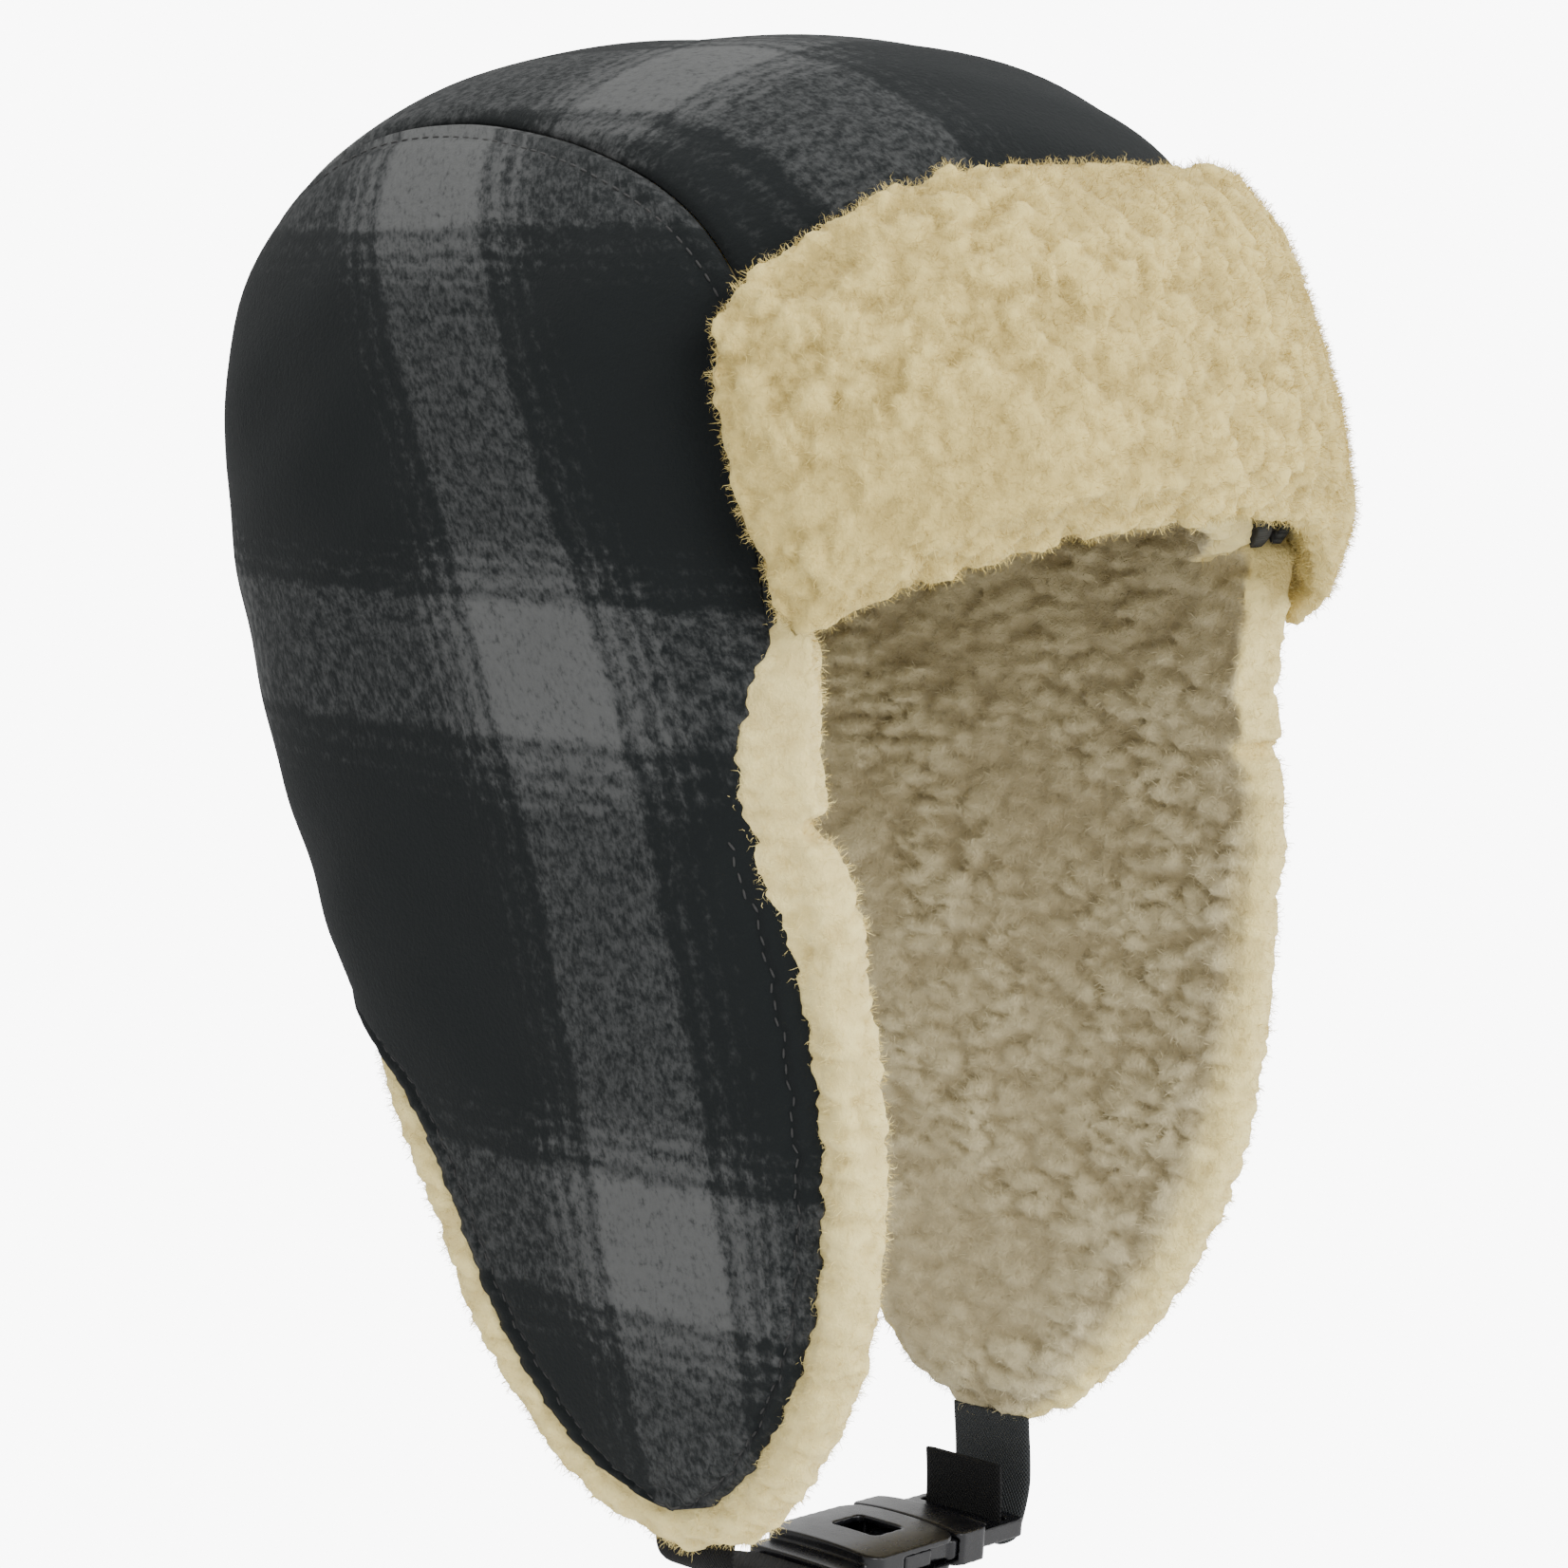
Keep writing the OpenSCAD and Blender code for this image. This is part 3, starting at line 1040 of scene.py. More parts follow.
@dataclass
class PileMaker:
    """Turns a lining's plain solid into curly pile, in millimetres.

    Fibres are given by which way each leans and how far. The level is the relief's height where the pile
    stands neither proud of its solid nor sunk into it. The two calms say how much flatter a lining whose
    inside is painted in shade lies at its rim, and the brim's pile at its left end.
    """

    cover: Cover
    clump: float
    voxel: float
    fuzz: float
    height: float = 2.6
    comb: tuple[float, float, float] = (1.0, 1.0, 1.0)
    fuzz_length: float = 2.2
    fibres: tuple[tuple[float, float], ...] = ((0.3, 0.8), (2.4, 1.0), (4.4, 0.6))
    # whether the pile's inside is painted in shade; it also calms the relief round the rims
    worn: bool = True
    seed: int = 3
    level: float = 0.55
    rim_calm: float = 0.40
    left_calm: float = 0.62

    def tuft(self) -> bpy.types.Object:
        """A few fine fibres from one root, which lean and hook over.

        Returns:
            The pattern.
        """
        points: list[tuple[float, float, float]] = []
        faces: list[tuple[int, ...]] = []
        for turn, lean in self.fibres:
            base = len(points)
            c, s = math.cos(turn), math.sin(turn)
            for out, up, half in ((0.0, -0.1, 0.026), (0.55 * lean, 0.52, 0.020)):
                points.append((c * out - s * half, s * out + c * half, up))
                points.append((c * out + s * half, s * out - c * half, up))
            points.append((c * lean - 0.3 * s, s * lean + 0.3 * c, 0.50))
            faces += [(base, base + 1, base + 3, base + 2), (base + 2, base + 3, base + 4)]
        return new_object("tuft_pattern", np.array(points) / MM, faces)

    def relief(self, net: Net, given: Made) -> Wire:
        """The pile's height at a place, near 0 in the hollows and 1 on the clumps.

        Args:
            net: The tree.
            given: The group's inputs.

        Returns:
            The height.
        """
        place = net.add("GeometryNodeInputPosition")[0]
        combed = net.vector("MULTIPLY", place, self.comb)
        warped = net.vector("MULTIPLY_ADD", net.drift(combed, 150.0, 3.0), (0.008, 0.008, 0.008), combed)
        per = given["Clump Size"] ** -1.0

        def rounds(scale: Any, smoothness: float, steep: float) -> Wire:
            """Round heads that fall away from their middles.

            Args:
                scale: How many there are in a metre.
                smoothness: How softly they meet.
                steep: How fast they fall away.

            Returns:
                Their height, from 0 to 1.
            """
            inputs = {"Vector": warped, "Scale": scale, "Smoothness": smoothness}
            away = net.add("ShaderNodeTexVoronoi", {"feature": "SMOOTH_F1"}, inputs)["Distance"]
            return (1 - away * away * steep).high(0.0)

        broad = net.noise(place, 26.0, 2.0)
        strength = broad.step(0.36, 0.60) * 0.55 + 0.45
        head, nub = rounds(per, 0.18, 1.9), rounds(per * 2.3, 0.3, 2.0)
        return ((head - 0.6) * strength + (nub - 0.6) * 0.4 * strength + (broad - 0.5) * 1.3) + self.level

    def tree(self, material: bpy.types.Material, pattern: bpy.types.Object | None) -> Any:
        """The pile's geometry nodes.

        Args:
            material: The pile's finish.
            pattern: The fibres for the fuzz, or None for the pile's surface.

        Returns:
            The node group.
        """
        sizes = ("Clump Size", "Clump Height", "Fuzz Density", "Fuzz Length")
        group, net, given = node_group("pile_fuzz" if pattern else "pile_surface", sizes, ("Seed",))
        normal = net.add("GeometryNodeInputNormal")[0]
        calm = net.kept("calm")
        pile = (self.relief(net, given) - self.level) * (1 - calm) + calm * 0.12 + self.level
        lift = given["Clump Height"] * (pile - self.level) * net.kept("bare")
        offset = net.add("ShaderNodeVectorMath", {"operation": "SCALE"}, {0: normal, "Scale": lift})[0]
        settings = {"data_type": "FLOAT", "domain": "POINT"}
        inputs = {"Geometry": given[0], "Name": "pile", "Value": pile}
        stored = net.add("GeometryNodeStoreNamedAttribute", settings, inputs)[0]
        result = net.add("GeometryNodeSetPosition", {}, {"Geometry": stored, "Offset": offset})[0]
        if pattern:
            density = given["Fuzz Density"] * net.kept("open").step(0.4, 0.9)
            inputs = {"Mesh": result, "Density": density, "Seed": given["Seed"]}
            spread = net.add("GeometryNodeDistributePointsOnFaces", {}, inputs)
            shape = net.add("GeometryNodeObjectInfo", {}, {"Object": pattern})["Geometry"]
            turns = {0: (-0.7, -0.7, 0.0), 1: (0.7, 0.7, 6.28), "Seed": given["Seed"]}
            spin = net.add("FunctionNodeRandomValue", {"data_type": "FLOAT_VECTOR"}, turns)[0]
            share = {2: 0.45, 3: 1.2, "Seed": given["Seed"]}
            length = net.add("FunctionNodeRandomValue", {"data_type": "FLOAT"}, share)[1]
            inputs = {"Points": spread["Points"], "Instance": shape, "Rotation": spread["Rotation"]}
            inputs["Scale"] = length * given["Fuzz Length"]
            standing = net.add("GeometryNodeInstanceOnPoints", {}, inputs)[0]
            turned = net.add("GeometryNodeRotateInstances", {}, {"Instances": standing, "Rotation": spin})[0]
            result = net.add("GeometryNodeRealizeInstances", {}, {0: turned})[0]
        dressed = net.add("GeometryNodeSetMaterial", {}, {"Geometry": result, "Material": material})[0]
        net.add("NodeGroupOutput", {}, {0: dressed})
        return group

    def grow(self, thing: bpy.types.Object, material: bpy.types.Material, fuzz: bool) -> bpy.types.Object:
        """Grows the pile's surface, or the fuzz on it, as a plain mesh.

        Args:
            thing: The marked solid, which is removed.
            material: The pile's finish.
            fuzz: Whether it is the fuzz.

        Returns:
            The finished piece.
        """
        pattern = (bpy.data.objects.get("tuft_pattern") or self.tuft()) if fuzz else None
        values = {
            "Clump Size": self.clump * MM,
            "Clump Height": self.height * MM,
            "Fuzz Density": self.fuzz * 1e6,
            "Fuzz Length": self.fuzz_length * MM,
            "Seed": self.seed,
        }
        made = run_group(thing, self.tree(material, pattern), values)
        made.data.shade_smooth()
        return made

    def make(
        self,
        name: str,
        nodes: Sequence[bpy.types.Object],
        material: bpy.types.Material,
        swell: float,
        form: Callable[[Grid], Grid] | None = None,
    ) -> list[bpy.types.Object]:
        """The pile's surface and the fuzz on it.

        Args:
            name: The piece's name.
            nodes: The solids it follows.
            material: The pile's finish.
            swell: How far it stands over them.
            form: Moves the plain solid's points before the pile grows.

        Returns:
            The surface, then the fuzz.
        """
        base = even_solid(name, nodes, self.voxel, swell, 6)
        if form:
            move_points(base.data, form(points_of(base.data)))
        self.cover.mark(base.data)
        x = points_of(base.data)[:, 0]
        # the inside mask paints shade, in the Sherpa finish, on the pile that faces into the hat
        inside = facing_in(base.data) if self.worn else np.zeros(len(x))
        store(base.data, "inside", inside)
        # the pile lies calmer round the rims, and towards the brim's left end
        calm = self.rim_calm * (1 - inside) if self.worn else self.left_calm * span(x, 5.0, 65.0)
        store(base.data, "calm", calm)
        copy = put(name + "_fuzz", base.data.copy())
        return [self.grow(base, material, False), self.grow(copy, material, True)]


@dataclass
class Topstitch:
    """A row of sewing along a line, in millimetres."""

    material: bpy.types.Material
    spacing: float = 3.2
    length: float = 2.1
    slim: float = 0.12

    def stitch(self) -> bpy.types.Object:
        """One stitch, a slim bead along X of unit length.

        Returns:
            The pattern.
        """
        angles = np.linspace(0, 2 * math.pi, 6, endpoint=False)
        rings = [
            [(x, self.slim * r * math.cos(a), self.slim * r * math.sin(a)) for a in angles]
            for x, r in ((-0.36, 0.8), (0.0, 1.0), (0.36, 0.8))
        ]
        points = [(-0.5, 0.0, 0.0)] + [p for ring in rings for p in ring] + [(0.5, 0.0, 0.0)]
        last = len(points) - 1
        faces: list[tuple[int, ...]] = []
        for j in range(6):
            k = (j + 1) % 6
            faces += [(0, 1 + k, 1 + j), (last, last - 6 + j, last - 6 + k)]
            faces += [(1 + 6 * i + j, 1 + 6 * i + k, 7 + 6 * i + k, 7 + 6 * i + j) for i in range(2)]
        return new_object("stitch_pattern", np.array(points) / MM, faces)

    def sew(self, name: str, lines: Sequence[Grid]) -> bpy.types.Object:
        """Sews along lines.

        Args:
            name: The piece's name.
            lines: Points along each line.

        Returns:
            The stitches.
        """
        edges: list[tuple[int, int]] = []
        base = 0
        for line in lines:
            edges += [(base + i, base + i + 1) for i in range(len(line) - 1)]
            base += len(line)
        mesh = bpy.data.meshes.new(name)
        mesh.from_pydata((np.concatenate(lines) * MM).tolist(), edges, [])
        thing = put(name, mesh)
        pattern = bpy.data.objects.get("stitch_pattern") or self.stitch()
        group, net, given = node_group("topstitch", ("Spacing", "Stitch Length"))
        curve = net.add("GeometryNodeMeshToCurve", {}, {0: given[0]})[0]
        inputs = {"Curve": curve, "Length": given["Spacing"]}
        dots = net.add("GeometryNodeCurveToPoints", {"mode": "LENGTH"}, inputs)
        turn = net.add("FunctionNodeAlignRotationToVector", {"axis": "X"}, {"Vector": dots["Tangent"]})[0]
        shape = net.add("GeometryNodeObjectInfo", {}, {"Object": pattern})["Geometry"]
        inputs = {"Points": dots["Points"], "Instance": shape, "Rotation": turn}
        inputs["Scale"] = given["Stitch Length"]
        sewn = net.add("GeometryNodeInstanceOnPoints", {}, inputs)[0]
        solid = net.add("GeometryNodeRealizeInstances", {}, {0: sewn})[0]
        inputs = {"Geometry": solid, "Material": self.material}
        net.add("NodeGroupOutput", {}, {0: net.add("GeometryNodeSetMaterial", {}, inputs)[0]})
        made = run_group(thing, group, {"Spacing": self.spacing * MM, "Stitch Length": self.length * MM})
        return made


# ---------------------------------------------------------------- sub-assemblies


@dataclass
class CrownBand:
    """The wool strip from the brow over the top to the nape.

    Each dip or swell beside the sewing is given by its depth and its reach.
    """

    shop: Workshop
    wool: float = 2.0
    rows: int = 220
    cols: int = 120
    seam_dip: tuple[float, float] = (1.4, 1.6)
    seam_swell: tuple[float, float] = (-0.4, 4.0)
    fullness: tuple[float, float] = (0.7, 9.0)
    wave: tuple[float, float, float] = (0.5, 60.0, 1.0)
    crossing_y: float = -29.0
    stripe_x: float = 46.0

    def build(self) -> bpy.types.Object:
        """Makes the band.

        Returns:
            The finished piece.
        """
        rows, cols = np.linspace(0, 1, self.rows), np.linspace(0.999, -0.999, self.cols)
        s, u = np.meshgrid(rows, cols, indexing="ij")
        p = SEAM.band(s, u)
        # the cloth dips into the seams, swells beside them and waves softly in its middle
        edge = np.minimum((1 - np.abs(u)) * SEAM.half(s), 60.0)
        full, reach = self.fullness
        dip = pinch(edge, *self.seam_dip) - full * (1 - np.exp(-edge / reach)) + pinch(edge, *self.seam_swell)
        dip = dip + ripple(p, *self.wave) * np.clip(edge / 20, 0, 1)
        # a plaid crossing lies on top of the hat, so the map starts there
        middle = p[:, self.cols // 2]
        along = length_along(middle)
        top = along[np.argmin(np.abs(middle[:, 1] - self.crossing_y) + 1000.0 * (middle[:, 2] < 90))]
        down = np.broadcast_to((along - top)[:, None], s.shape)
        cloth = np.stack([p[..., 0] + self.stripe_x, down], -1) * MM
        thing = cloth_solid("crown_band_wool", SHELL.inset(p, dip), SHELL.inset(p, self.wool), cloth)
        self.shop.dress(thing, "wool", "wool_plaid")
        self.shop.settle(thing, "crown", ["crown_band"])
        return thing


@dataclass
class SideCloth:
    """A side panel and its ear flap, one cloth across the fold line.

    Places in the side view are [y, z]. Each dip or swell beside the sewing is given by its depth and its
    reach, and each row of sewing by its distance from the edge.
    """

    shop: Workshop
    side: Side
    wool: float = 2.0
    cols: int = 130
    panel_rows: int = 90
    flap_rows: int = 150
    hollow: float = 4.5
    bend: float = 24.0
    blend_x: float = 83.4
    seam_dip: tuple[float, float] = (1.4, 1.6)
    seam_swell: tuple[float, float] = (-0.35, 1.6)
    topstitch: float = 5.5
    topstitch_dip: tuple[float, float] = (0.7, 1.1)
    rim_dip: tuple[float, float] = (0.9, 1.6)
    channel: float = 5.0
    channel_dip: tuple[float, float] = (0.9, 1.2)
    fullness: tuple[float, float] = (0.6, 12.0)
    wave: tuple[float, float, float] = (0.8, 70.0, 2.0)
    flap_front: tuple[float, float] = (-71.0, -34.0)
    nape_corner: tuple[float, float] = (48.0, -83.0)
    front_edge: tuple[tuple[float, float], ...] = (
        (-71, -34), (-77, -56), (-80, -84), (-79, -107), (-74, -131), (-62, -154), (-47, -171), (-32, -177),
    )
    rear_edge: tuple[tuple[float, float], ...] = (
        (48, -83), (25, -98), (15, -117), (9, -138), (1, -155), (-9, -168), (-20, -174), (-32, -177),
    )

    def fold_blend(self) -> tuple[Vector, Vector]:
        """Where the bend starts and ends, square to the fold line.

        Returns:
            The start and the end, in metres.
        """
        front, back = np.array(self.flap_front), np.array(self.nape_corner)
        way = (back - front) / np.linalg.norm(back - front)
        down = np.array([way[1], -way[0]])
        start = (front + back) / 2
        end = start + down * self.bend
        x = self.blend_x * self.side.value
        return Vector((x, *start)) * MM, Vector((x, *end)) * MM

    def outline(self) -> Grid:
        """Side-view places of the whole cloth, from the seam down to the tip.

        Returns:
            The [y, z] places, rows by columns.
        """
        s = np.linspace(0, 1, self.cols)
        seam = SEAM.band(s, np.ones_like(s))[:, 1:]
        fold = mix(np.array(self.flap_front), np.array(self.nape_corner), s[:, None])
        v = np.linspace(0.999, 0, self.panel_rows)[:, None, None]
        way = (fold[-1] - fold[0]) / np.linalg.norm(fold[-1] - fold[0])
        near_front = np.maximum(0, 1 - s[None, :, None] / 0.25) ** 1.5
        panel = mix(fold[None], seam[None], v) + self.hollow * np.sin(np.pi * v**0.8) * near_front * way
        t = np.linspace(0, 0.997, self.flap_rows)[1:]
        front, rear = through(self.front_edge, t), through(self.rear_edge, t)
        flap = mix(front[:, None], rear[:, None], s[None, :, None])
        whole = np.concatenate([panel, flap])
        # the sewn edges aren't quite even, apart from the sewing beside the seam
        z = whole[:, :1, 1]
        uneven = 0.5 * np.sin(z * 0.55) + 0.4 * np.sin(z * 1.1 + 1.0) + 0.3 * np.sin(z * 1.9)
        ends = np.maximum(0, 1 - s / 0.12) - np.maximum(0, 1 - (1 - s) / 0.12)
        whole[..., 0] += (0.6 + uneven * 0.8) * ends * np.clip((whole[..., 1].max() - 20 - z) / 20, 0, 1)
        return whole

    def build(self) -> bpy.types.Object:
        """Makes the cloth and its sewing.

        Returns:
            The cloth.
        """
        q = self.outline()
        y, z = q[..., 0], q[..., 1]
        p = SHELL.from_side(y, z)
        run, down = length_along(p, 1), length_along(p)
        ends = np.minimum(run, run[:, -1:] - run)
        tip = down[-1:] - down
        edge = np.minimum(np.minimum(ends, down), tip)
        rim = np.minimum(ends, tip)
        on_flap = np.clip((-36 - z) / 20, 0, 1)
        dip = pinch(down, *self.seam_dip) + pinch(down - self.topstitch, *self.topstitch_dip)
        dip = dip + pinch(down - 2.6, *self.seam_swell)
        dip = dip + on_flap * (pinch(rim, *self.rim_dip) + pinch(rim - self.channel, *self.channel_dip))
        full, reach = self.fullness
        dip = dip - full * (1 - np.exp(-edge / reach)) + ripple(p, *self.wave) * np.clip(edge / 15, 0, 1)
        # the pale stripe leans back as it rises, and the repeat is closer where the panel curves over
        middle = -43.0 + 57.0 * np.maximum(0, (z + 120.0) / 205.0) ** 2.4
        height = np.where(z > -7, (z + 7) * 112.0 / 90.0, z + 7)
        cloth = np.stack([y - middle, height], -1) * MM
        outer, inner = SHELL.inset(p, dip), SHELL.inset(p, self.wool)
        if self.side is Side.RIGHT:
            outer[..., 0] *= -1
            inner[..., 0] *= -1
        word = self.side.word
        thing = cloth_solid(f"{word}_side_wool", outer, inner, cloth)
        self.shop.dress(thing, "wool", "wool_plaid")
        self.place(thing, [f"{word}_side_panel", f"{word}_flap_shell"])

        def read(place: float, run_off: Grid, line: Grid) -> list[float]:
            """The point of a line at a length along it."""
            return [np.interp(place, run_off, line[:, k]) for k in range(3)]

        # the topstitch beside the seam, then the channel round the flap
        seam = [read(self.topstitch, down[:, j], outer[:, j]) for j in range(4, self.cols - 4)]
        rows = [i for i in range(len(p)) if on_flap[i, 0] > 0 and run[i, -1] > 14]
        front = [read(self.channel, run[i], outer[i]) for i in rows]
        rear = [read(run[i, -1] - self.channel, run[i], outer[i]) for i in rows]
        lines = [np.array(line) for line in (seam, front, rear)]
        self.place(Topstitch(self.shop.finishes["thread"]).sew(f"{word}_sewing", lines), [])
        return thing

    def place(self, thing: bpy.types.Object, nodes: Sequence[str]) -> None:
        """Bakes a piece's place into its mesh, reports it with its flap and hides the nodes that it stands
        for.

        Args:
            thing: The piece.
            nodes: The nodes.
        """
        flap = f"{self.side.word}_flap"
        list(self.fold_blend())
        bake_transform(thing)
        self.shop.enter(thing, flap, nodes)


@dataclass
class Linings:
    """The sherpa inside the crown and flaps.

    Two tables shape the front rims, by height: the share of each side's forward move, and how far the dent
    at the fold is filled.
    """

    shop: Workshop
    frame: dict[str, Any]
    wool: Sequence[bpy.types.Object]
    forward: tuple[tuple[float, float], ...] = (
        (-172, 0.0), (-110, 0.25), (-60, 0.5), (-12, 1.0), (0, 1.3), (14, 0.3),
    )
    filled: tuple[tuple[float, float], ...] = (
        (-64, 0.0), (-52, 2.5), (-43, 6.5), (-37, 8.5), (-32, 4.5), (-22, 0.0),
    )

    def solids(self, *names: str) -> list[bpy.types.Object]:
        """The named solids."""
        return [self.frame["nodes"][name] for name in names]

    def rim_form(self, side: Side) -> Callable[[Grid], Grid]:
        """How the front rim of a side stands forward of its solid: the left one, worn looser, the most.

        Args:
            side: The side.

        Returns:
            A move of the solid's points.
        """
        most, lift = (12.0, 8.0) if side is Side.LEFT else (3.0, 0.0)

        def form(p: Grid) -> Grid:
            """The rim's points, moved forward, and raised at the temple.

            Args:
                p: The solid's points.

            Returns:
                The moved points.
            """
            share, fill = (np.interp(p[:, 2], *zip(*table)) for table in (self.forward, self.filled))
            near = ease(span(-p[:, 1], 45.0, 30.0))
            moved = p.copy()
            moved[:, 1] -= (most * share + fill) * near
            moved[:, 2] += lift * near * span(p[:, 2], -10.0, 12.0)
            return moved

        return form

    def build(self) -> None:
        """Makes the crown's lining, then each side's with its flap."""
        # the lining's sherpa copy is painted lighter, as light on its rims
        material = self.shop.finishes["lining"]
        sides = self.solids("left_side_lining", "right_side_lining")
        cover = Cover.over([*self.wool, *sides])
        crown = PileMaker(cover, voxel=1.6, fuzz=0.12, comb=(1.0, 1.0, 1.5), clump=6.0)
        first, fuzz = crown.make("crown_lining", self.solids("crown_band_lining"), material, 0.0)
        for thing, nodes in ((first, ["crown_band_lining"]), (fuzz, [])):
            self.shop.settle(thing, "crown", nodes)
        cover = Cover.over([*self.wool, *self.solids("crown_band_lining")])
        for side in Side:
            names = [f"{side.word}_side_lining", f"{side.word}_flap_lining"]
            pile = PileMaker(cover, voxel=1.15, fuzz=0.42, comb=(1.0, 0.62, 1.5), clump=5.6, height=2.3)
            solids = self.solids(*names)
            pieces = pile.make(f"{side.word}_lining", solids, material, 0.55, self.rim_form(side))
            cloth = SideCloth(self.shop, side)
            for thing, stands_for in zip(pieces, (names, [])):
                cloth.place(thing, stands_for)
            pieces[0]


@dataclass
class Brim:
    """The turned-up brim: wool behind, sherpa in front."""

    shop: Workshop
    frame: dict[str, Any]
    half_angle: float = 51.0
    half_width: float = 94.0
    depth: float = 113.0
    round: float = 2.4
    set_back: float = 19.0
    top: float = 84.0
    end_drop: float = 28.0
    draw_in: float = 0.14
    wool: float = 2.0
    trim: float = 0.15
    plump: float = 4.5
    sag: float = 9.0

    def point(self, u: Grid, v: Grid, out: Grid | float) -> Grid:
        """Points of the brim.

        Args:
            u: Places across, -1 to 1.
            v: Places up, 0 to 1.
            out: How far out from its inner face.

        Returns:
            The points.
        """
        draw_in = self.draw_in * np.maximum(0, 1 - v / 0.75) ** 1.3
        angle = np.radians(self.half_angle * (1 - draw_in) * u)
        back = self.set_back * v**2 * (1 - np.abs(u) ** 2.5)
        across = (np.abs(np.sin(angle)) / (self.half_width - back)) ** self.round
        ahead = (np.cos(angle) / (self.depth - back)) ** self.round
        r = (across + ahead) ** (-1 / self.round) + out
        fold = mix(SEAM.brow_z - 1, 0.0, np.abs(u) ** 2.5)
        high = self.top - self.end_drop * np.abs(u) ** 3.5
        return np.stack([r * np.sin(angle), -r * np.cos(angle), mix(fold, high, v)], -1)

    def full_corner(self, p: Grid) -> Grid:
        """The facing's points, with its lower left corner plumped outwards and down.

        Args:
            p: The solid's points.

        Returns:
            The moved points.
        """
        share = span(p[:, 0], 32.0, 26.0) * span(-p[:, 2], -26.0, 18.0)
        way = p[:, :2] / np.maximum(np.linalg.norm(p[:, :2], axis=1, keepdims=True), 1.0)
        moved = p.copy()
        moved[:, :2] += self.plump * share[:, None] * way
        moved[:, 2] -= self.sag * share
        return moved

    def build(self) -> None:
        """Makes the cloth and the facing."""
        rows, cols = np.linspace(0.04, 0.96, 60), np.linspace(-0.98, 0.98, 120)
        v, u = np.meshgrid(rows, cols, indexing="ij")
        u = u * (1 - self.trim * (1 - v) ** 3)  # the wool's lower corners are cut back under the pile
        outer, inner = self.point(u, v, self.wool), self.point(u, v, 0.0)
        cloth = np.stack([outer[..., 0] + 20.0, outer[..., 2]], -1) * MM
        thing = cloth_solid("brim_wool", outer, inner, cloth)
        self.shop.dress(thing, "wool", "wool_plaid")
        self.shop.settle(thing, "brim", ["brim_shell"])
        cover = Cover.over([thing])
        pile = PileMaker(cover, voxel=0.85, fuzz=0.75, clump=6.6, height=2.5, worn=False, seed=8)
        solids = [self.frame["nodes"]["brim_facing"]]
        pieces = pile.make("brim_sherpa", solids, self.shop.finishes["sherpa"], 0.3, self.full_corner)
        for piece, nodes in zip(pieces, (["brim_facing"], [])):
            self.shop.settle(piece, "brim", nodes)
        pieces[0]


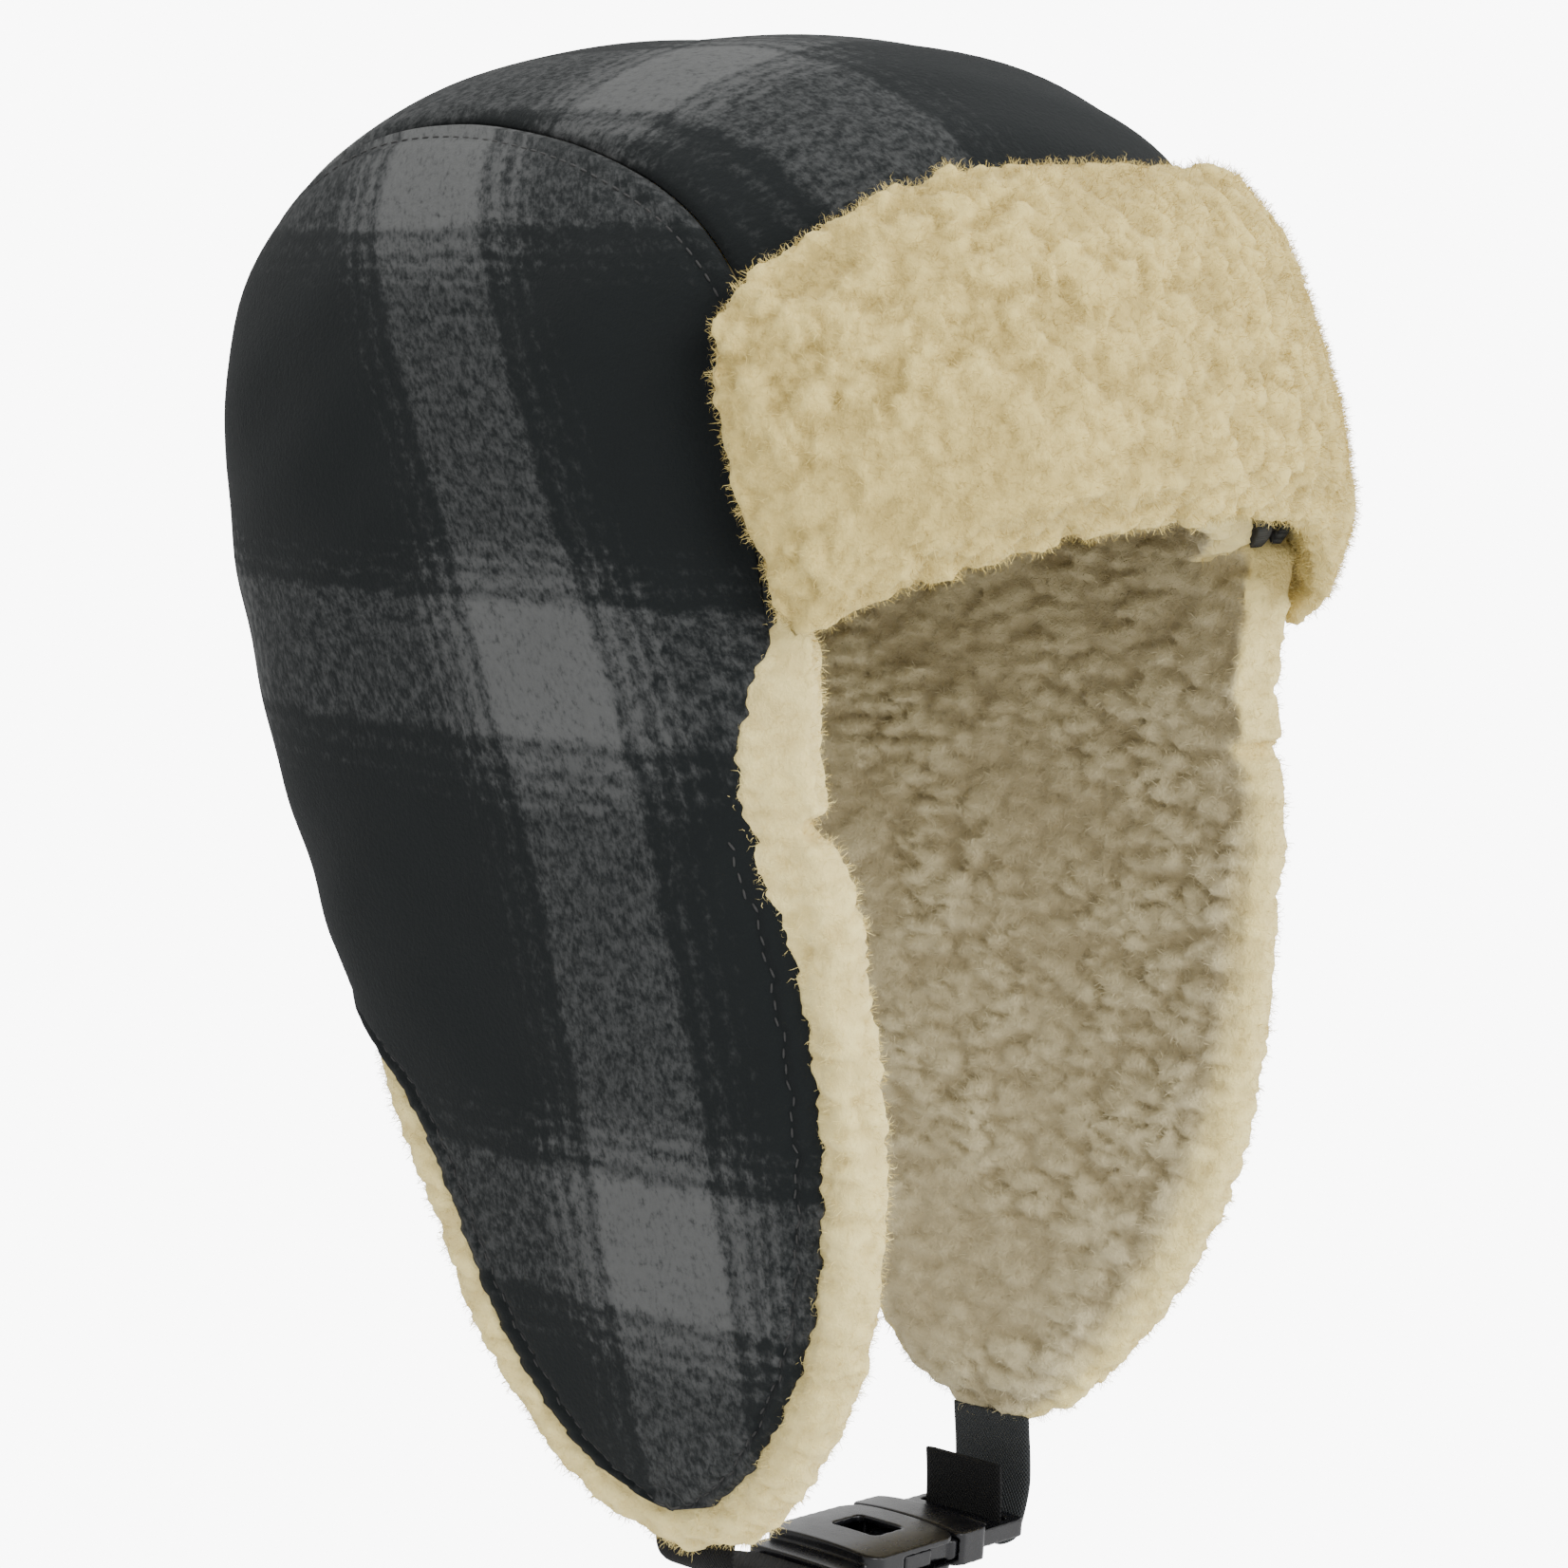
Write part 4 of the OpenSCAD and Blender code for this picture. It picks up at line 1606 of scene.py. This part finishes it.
@dataclass
class ChinStrap:
    """The webbing and the buckle under the chin, in millimetres."""

    shop: Workshop
    frame: dict[str, Any]
    at: tuple[float, float, float] = (15.0, -34.0, -202.0)
    tilt: float = 6.0
    width: float = 20.0
    thick: float = 1.6
    face_share: float = 0.48
    edge_thin: float = 0.55
    crown: float = 0.24
    half_buckle: float = 15.0

    def turned(self, x: Any, z: Any, way: int = 1) -> tuple[Any, Any]:
        """Turns [x, z] by the buckle's tilt (1), or back from it (-1)."""
        c, s = math.cos(math.radians(self.tilt)), way * math.sin(math.radians(self.tilt))
        return x * c + z * s, z * c - x * s

    def from_buckle(self, x: float, z: float) -> tuple[float, float]:
        """The [x, z] of a place in the buckle's own frame."""
        x, z = self.turned(x, z)
        return self.at[0] + x, self.at[2] + z

    def webbing(
        self, name: str, path: Sequence[tuple[float, float]], finish: str, node: str, body: str
    ) -> None:
        """Makes one length of webbing.

        Args:
            name: The piece's name.
            path: The [x, z] places that it passes.
            finish: Its finish.
            node: The solid it stands for.
            body: The body it rides on.
        """
        n = 24 * (len(path) - 1)
        line = through(path, np.linspace(0, 1, n + 1))
        way = np.gradient(line, axis=0)
        way /= np.linalg.norm(way, axis=1, keepdims=True)
        side = np.stack([-way[:, 1], way[:, 0]], -1)
        run = length_along(line)
        across = np.linspace(-self.width / 2, self.width / 2, 25)
        edge = 1 - self.edge_thin * (np.abs(across) / (self.width / 2)) ** 14

        def layer(sign: float) -> Grid:
            """One face of the webbing.

            Args:
                sign: Which face, -1 or 1.

            Returns:
                Its points.
            """
            half = sign * self.face_share * self.thick * edge
            x = line[:, None, 0] + side[:, None, 0] * half
            z = line[:, None, 1] + side[:, None, 1] * half
            return np.stack([x, np.broadcast_to(self.at[1] + across, x.shape), z], -1)

        cloth = np.stack(np.broadcast_arrays(run[:, None], across[None]), -1) * MM
        thing = cloth_solid(name, layer(1), layer(-1), cloth)
        self.shop.dress(thing, finish, finish)
        self.shop.settle(thing, body, [node])

    def moulding(self, node: str, body: str) -> None:
        """Makes one buckle part with rounded edges and a crowned face.

        Args:
            node: The solid it stands for.
            body: The body it rides on.
        """
        thing = even_solid(node + "_moulded", [self.frame["nodes"][node]], 0.34, 0.0, 5)
        p = points_of(thing.data) - np.array(self.at)
        x, z = self.turned(p[:, 0], p[:, 2], -1)
        z = z * (1 - self.crown * (np.abs(p[:, 1]) / self.half_buckle) ** 2.4)
        x, z = self.turned(x, z)
        move_points(thing.data, np.stack([x, p[:, 1], z], -1) + np.array(self.at))
        self.shop.dress(thing, "moulded", "buckle")
        self.shop.settle(thing, body, [node])

    def build(self) -> None:
        """Makes the webbing, then the buckle."""
        place = self.from_buckle
        down = [(46.6, -182.5), (47.4, -193), (47, -199)]
        down += [place(29.6, -0.6), place(28, -3), place(25.5, -3.6), place(23.4, -3.6)]
        tail = [place(21.6, -2.2), place(21.6, 3), (36.9, -196), (36.6, -190.5)]
        short = [(-50.5, -180), (-51.5, -186), (-48.5, -190.4), (-40, -192), (-30, -195), (-21.6, -198)]
        self.webbing("long_webbing", down, "webbing_grey", "left_strap", "chin_strap")
        self.webbing("free_webbing", tail, "webbing_black", "strap_tail", "chin_strap")
        self.webbing("short_webbing", short, "webbing_black", "right_strap", "strap_end")
        self.moulding("buckle_plug", "chin_strap")
        self.moulding("buckle_socket", "strap_end")
        self.moulding("plug_arm_front", "front_arm")
        self.moulding("plug_arm_rear", "rear_arm")


@dataclass
class Studio:
    """Floor, lights and camera."""

    target: Vector = field(default_factory=lambda: Vector((0.0, -0.0138, -0.0405)))
    azimuth: float = -50.0
    elevation: float = 8.4
    distance: float = 0.70
    lens: float = 77.8
    glow: float = 9.0
    daylight: float = 1.15
    floor_drop: float = 0.12
    lamps: tuple[tuple[str, tuple[float, float, float], float, float], ...] = (
        ("key", (-0.50, -1.8, 0.8), 1.2, 36.0),
        ("fill", (0.9, -1.4, 0.2), 1.2, 9.0),
        ("top", (0.1, 0.3, 1.6), 1.0, 14.0),
    )

    def camera(self) -> None:
        """Makes the camera."""
        data = bpy.data.cameras.new("camera")
        data.lens = self.lens
        data.sensor_width = 36.0
        data.clip_start, data.clip_end = 0.01, 50.0
        thing = put("camera", data)
        a, e = math.radians(self.azimuth), math.radians(self.elevation)
        back = Vector((math.sin(a) * math.cos(e), -math.cos(a) * math.cos(e), math.sin(e)))
        thing.location = self.target + back * self.distance
        thing.rotation_euler = (-back).to_track_quat("-Z", "Y").to_euler()
        bpy.context.scene.camera = thing

    def area(self, name: str, place: Sequence[float], size: float, power: float) -> None:
        """Adds a soft round light aimed at the hat.

        Args:
            name: The light's name.
            place: Where it stands, in metres.
            size: How wide it is, in metres.
            power: Its power, in watts.
        """
        data = bpy.data.lights.new(name, "AREA")
        data.shape = "DISK"
        data.size = size
        data.energy = power
        thing = put(name, data)
        thing.location = place
        thing.rotation_euler = (self.target - Vector(place)).to_track_quat("-Z", "Y").to_euler()

    def show_white(self, tree: bpy.types.NodeTree, kind: str, lit: Any, output: str) -> None:
        """Shows plain white to the eye behind the hat, whatever lights it.

        Args:
            tree: The floor's or the sky's nodes.
            kind: The shader that shows white there.
            lit: The node for everything but the eye.
            output: The output's name.
        """
        net = Net(tree)
        seen = net.add("ShaderNodeLightPath")["Is Camera Ray"]
        white = net.add(kind, {}, {"Color": (1.0, 1.0, 1.0, 1.0), "Strength": self.glow})[0]
        both = net.add("ShaderNodeMixShader", {}, {0: seen, 1: Wire(net, lit.outputs[0]), 2: white})[0]
        tree.links.new(both.socket, tree.nodes[output].inputs[0])

    def build(self, low: float) -> None:
        """Makes the floor, the lights and the sky.

        Args:
            low: The height of the object's lowest point, in metres.
        """
        bpy.ops.mesh.primitive_plane_add(size=12.0, location=(0.0, 0.0, low - self.floor_drop))
        floor = bpy.context.object
        floor.name = "floor"
        material = bpy.data.materials.new("floor")
        material.use_nodes = True
        shader = material.node_tree.nodes["Principled BSDF"]
        shader.inputs["Base Color"].default_value = (0.9, 0.9, 0.9, 1.0)
        shader.inputs["Roughness"].default_value = 0.9
        self.show_white(material.node_tree, "ShaderNodeEmission", shader, "Material Output")
        floor.data.materials.append(material)
        floor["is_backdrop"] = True
        world = bpy.context.scene.world or bpy.data.worlds.new("world")
        bpy.context.scene.world = world
        world.use_nodes = True
        sky = world.node_tree.nodes["Background"]
        sky.inputs["Color"].default_value = (1.0, 1.0, 1.0, 1.0)
        sky.inputs["Strength"].default_value = self.daylight
        self.show_white(world.node_tree, "ShaderNodeBackground", sky, "World Output")
        for lamp in self.lamps:
            self.area(*lamp)


def main() -> None:
    """Builds the hat on its frame."""
    logging.basicConfig(level=logging.INFO, format="%(name)s %(message)s")
    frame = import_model()
    low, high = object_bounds()
    studio = Studio()
    studio.camera()
    shop = Workshop()
    shop.finishes = {
        "wool": PlaidWool("plaid_wool").build(),
        "sherpa": Sherpa("sherpa").build(),
        # the lining's copy of the sherpa is painted lighter than the brim's, as painted light on its rims
        "lining": Sherpa("sherpa_lining", lit=(0.87, 0.730, 0.320), deep=(0.66, 0.530, 0.225)).build(),
        "webbing_grey": Webbing("webbing_grey", (0.023, 0.025, 0.026)).build(),
        "webbing_black": Webbing("webbing_black", (0.0026, 0.0026, 0.0027)).build(),
        "moulded": Moulded("moulded").build(),
        "thread": Thread("thread").build(),
    }
    wool = [CrownBand(shop).build()] + [SideCloth(shop, side).build() for side in Side]
    Linings(shop, frame, wool).build()
    Brim(shop, frame).build()
    ChinStrap(shop, frame).build()
    for name in ("tuft_pattern", "stitch_pattern"):
        bpy.data.objects.remove(bpy.data.objects[name])
    studio.build(low.z)
    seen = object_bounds()
    {"cad": [list(low), list(high)], "visual": [list(seen[0]), list(seen[1])]}
    log.info("made %d pieces", shop.made)


if __name__ == "__main__":
    main()
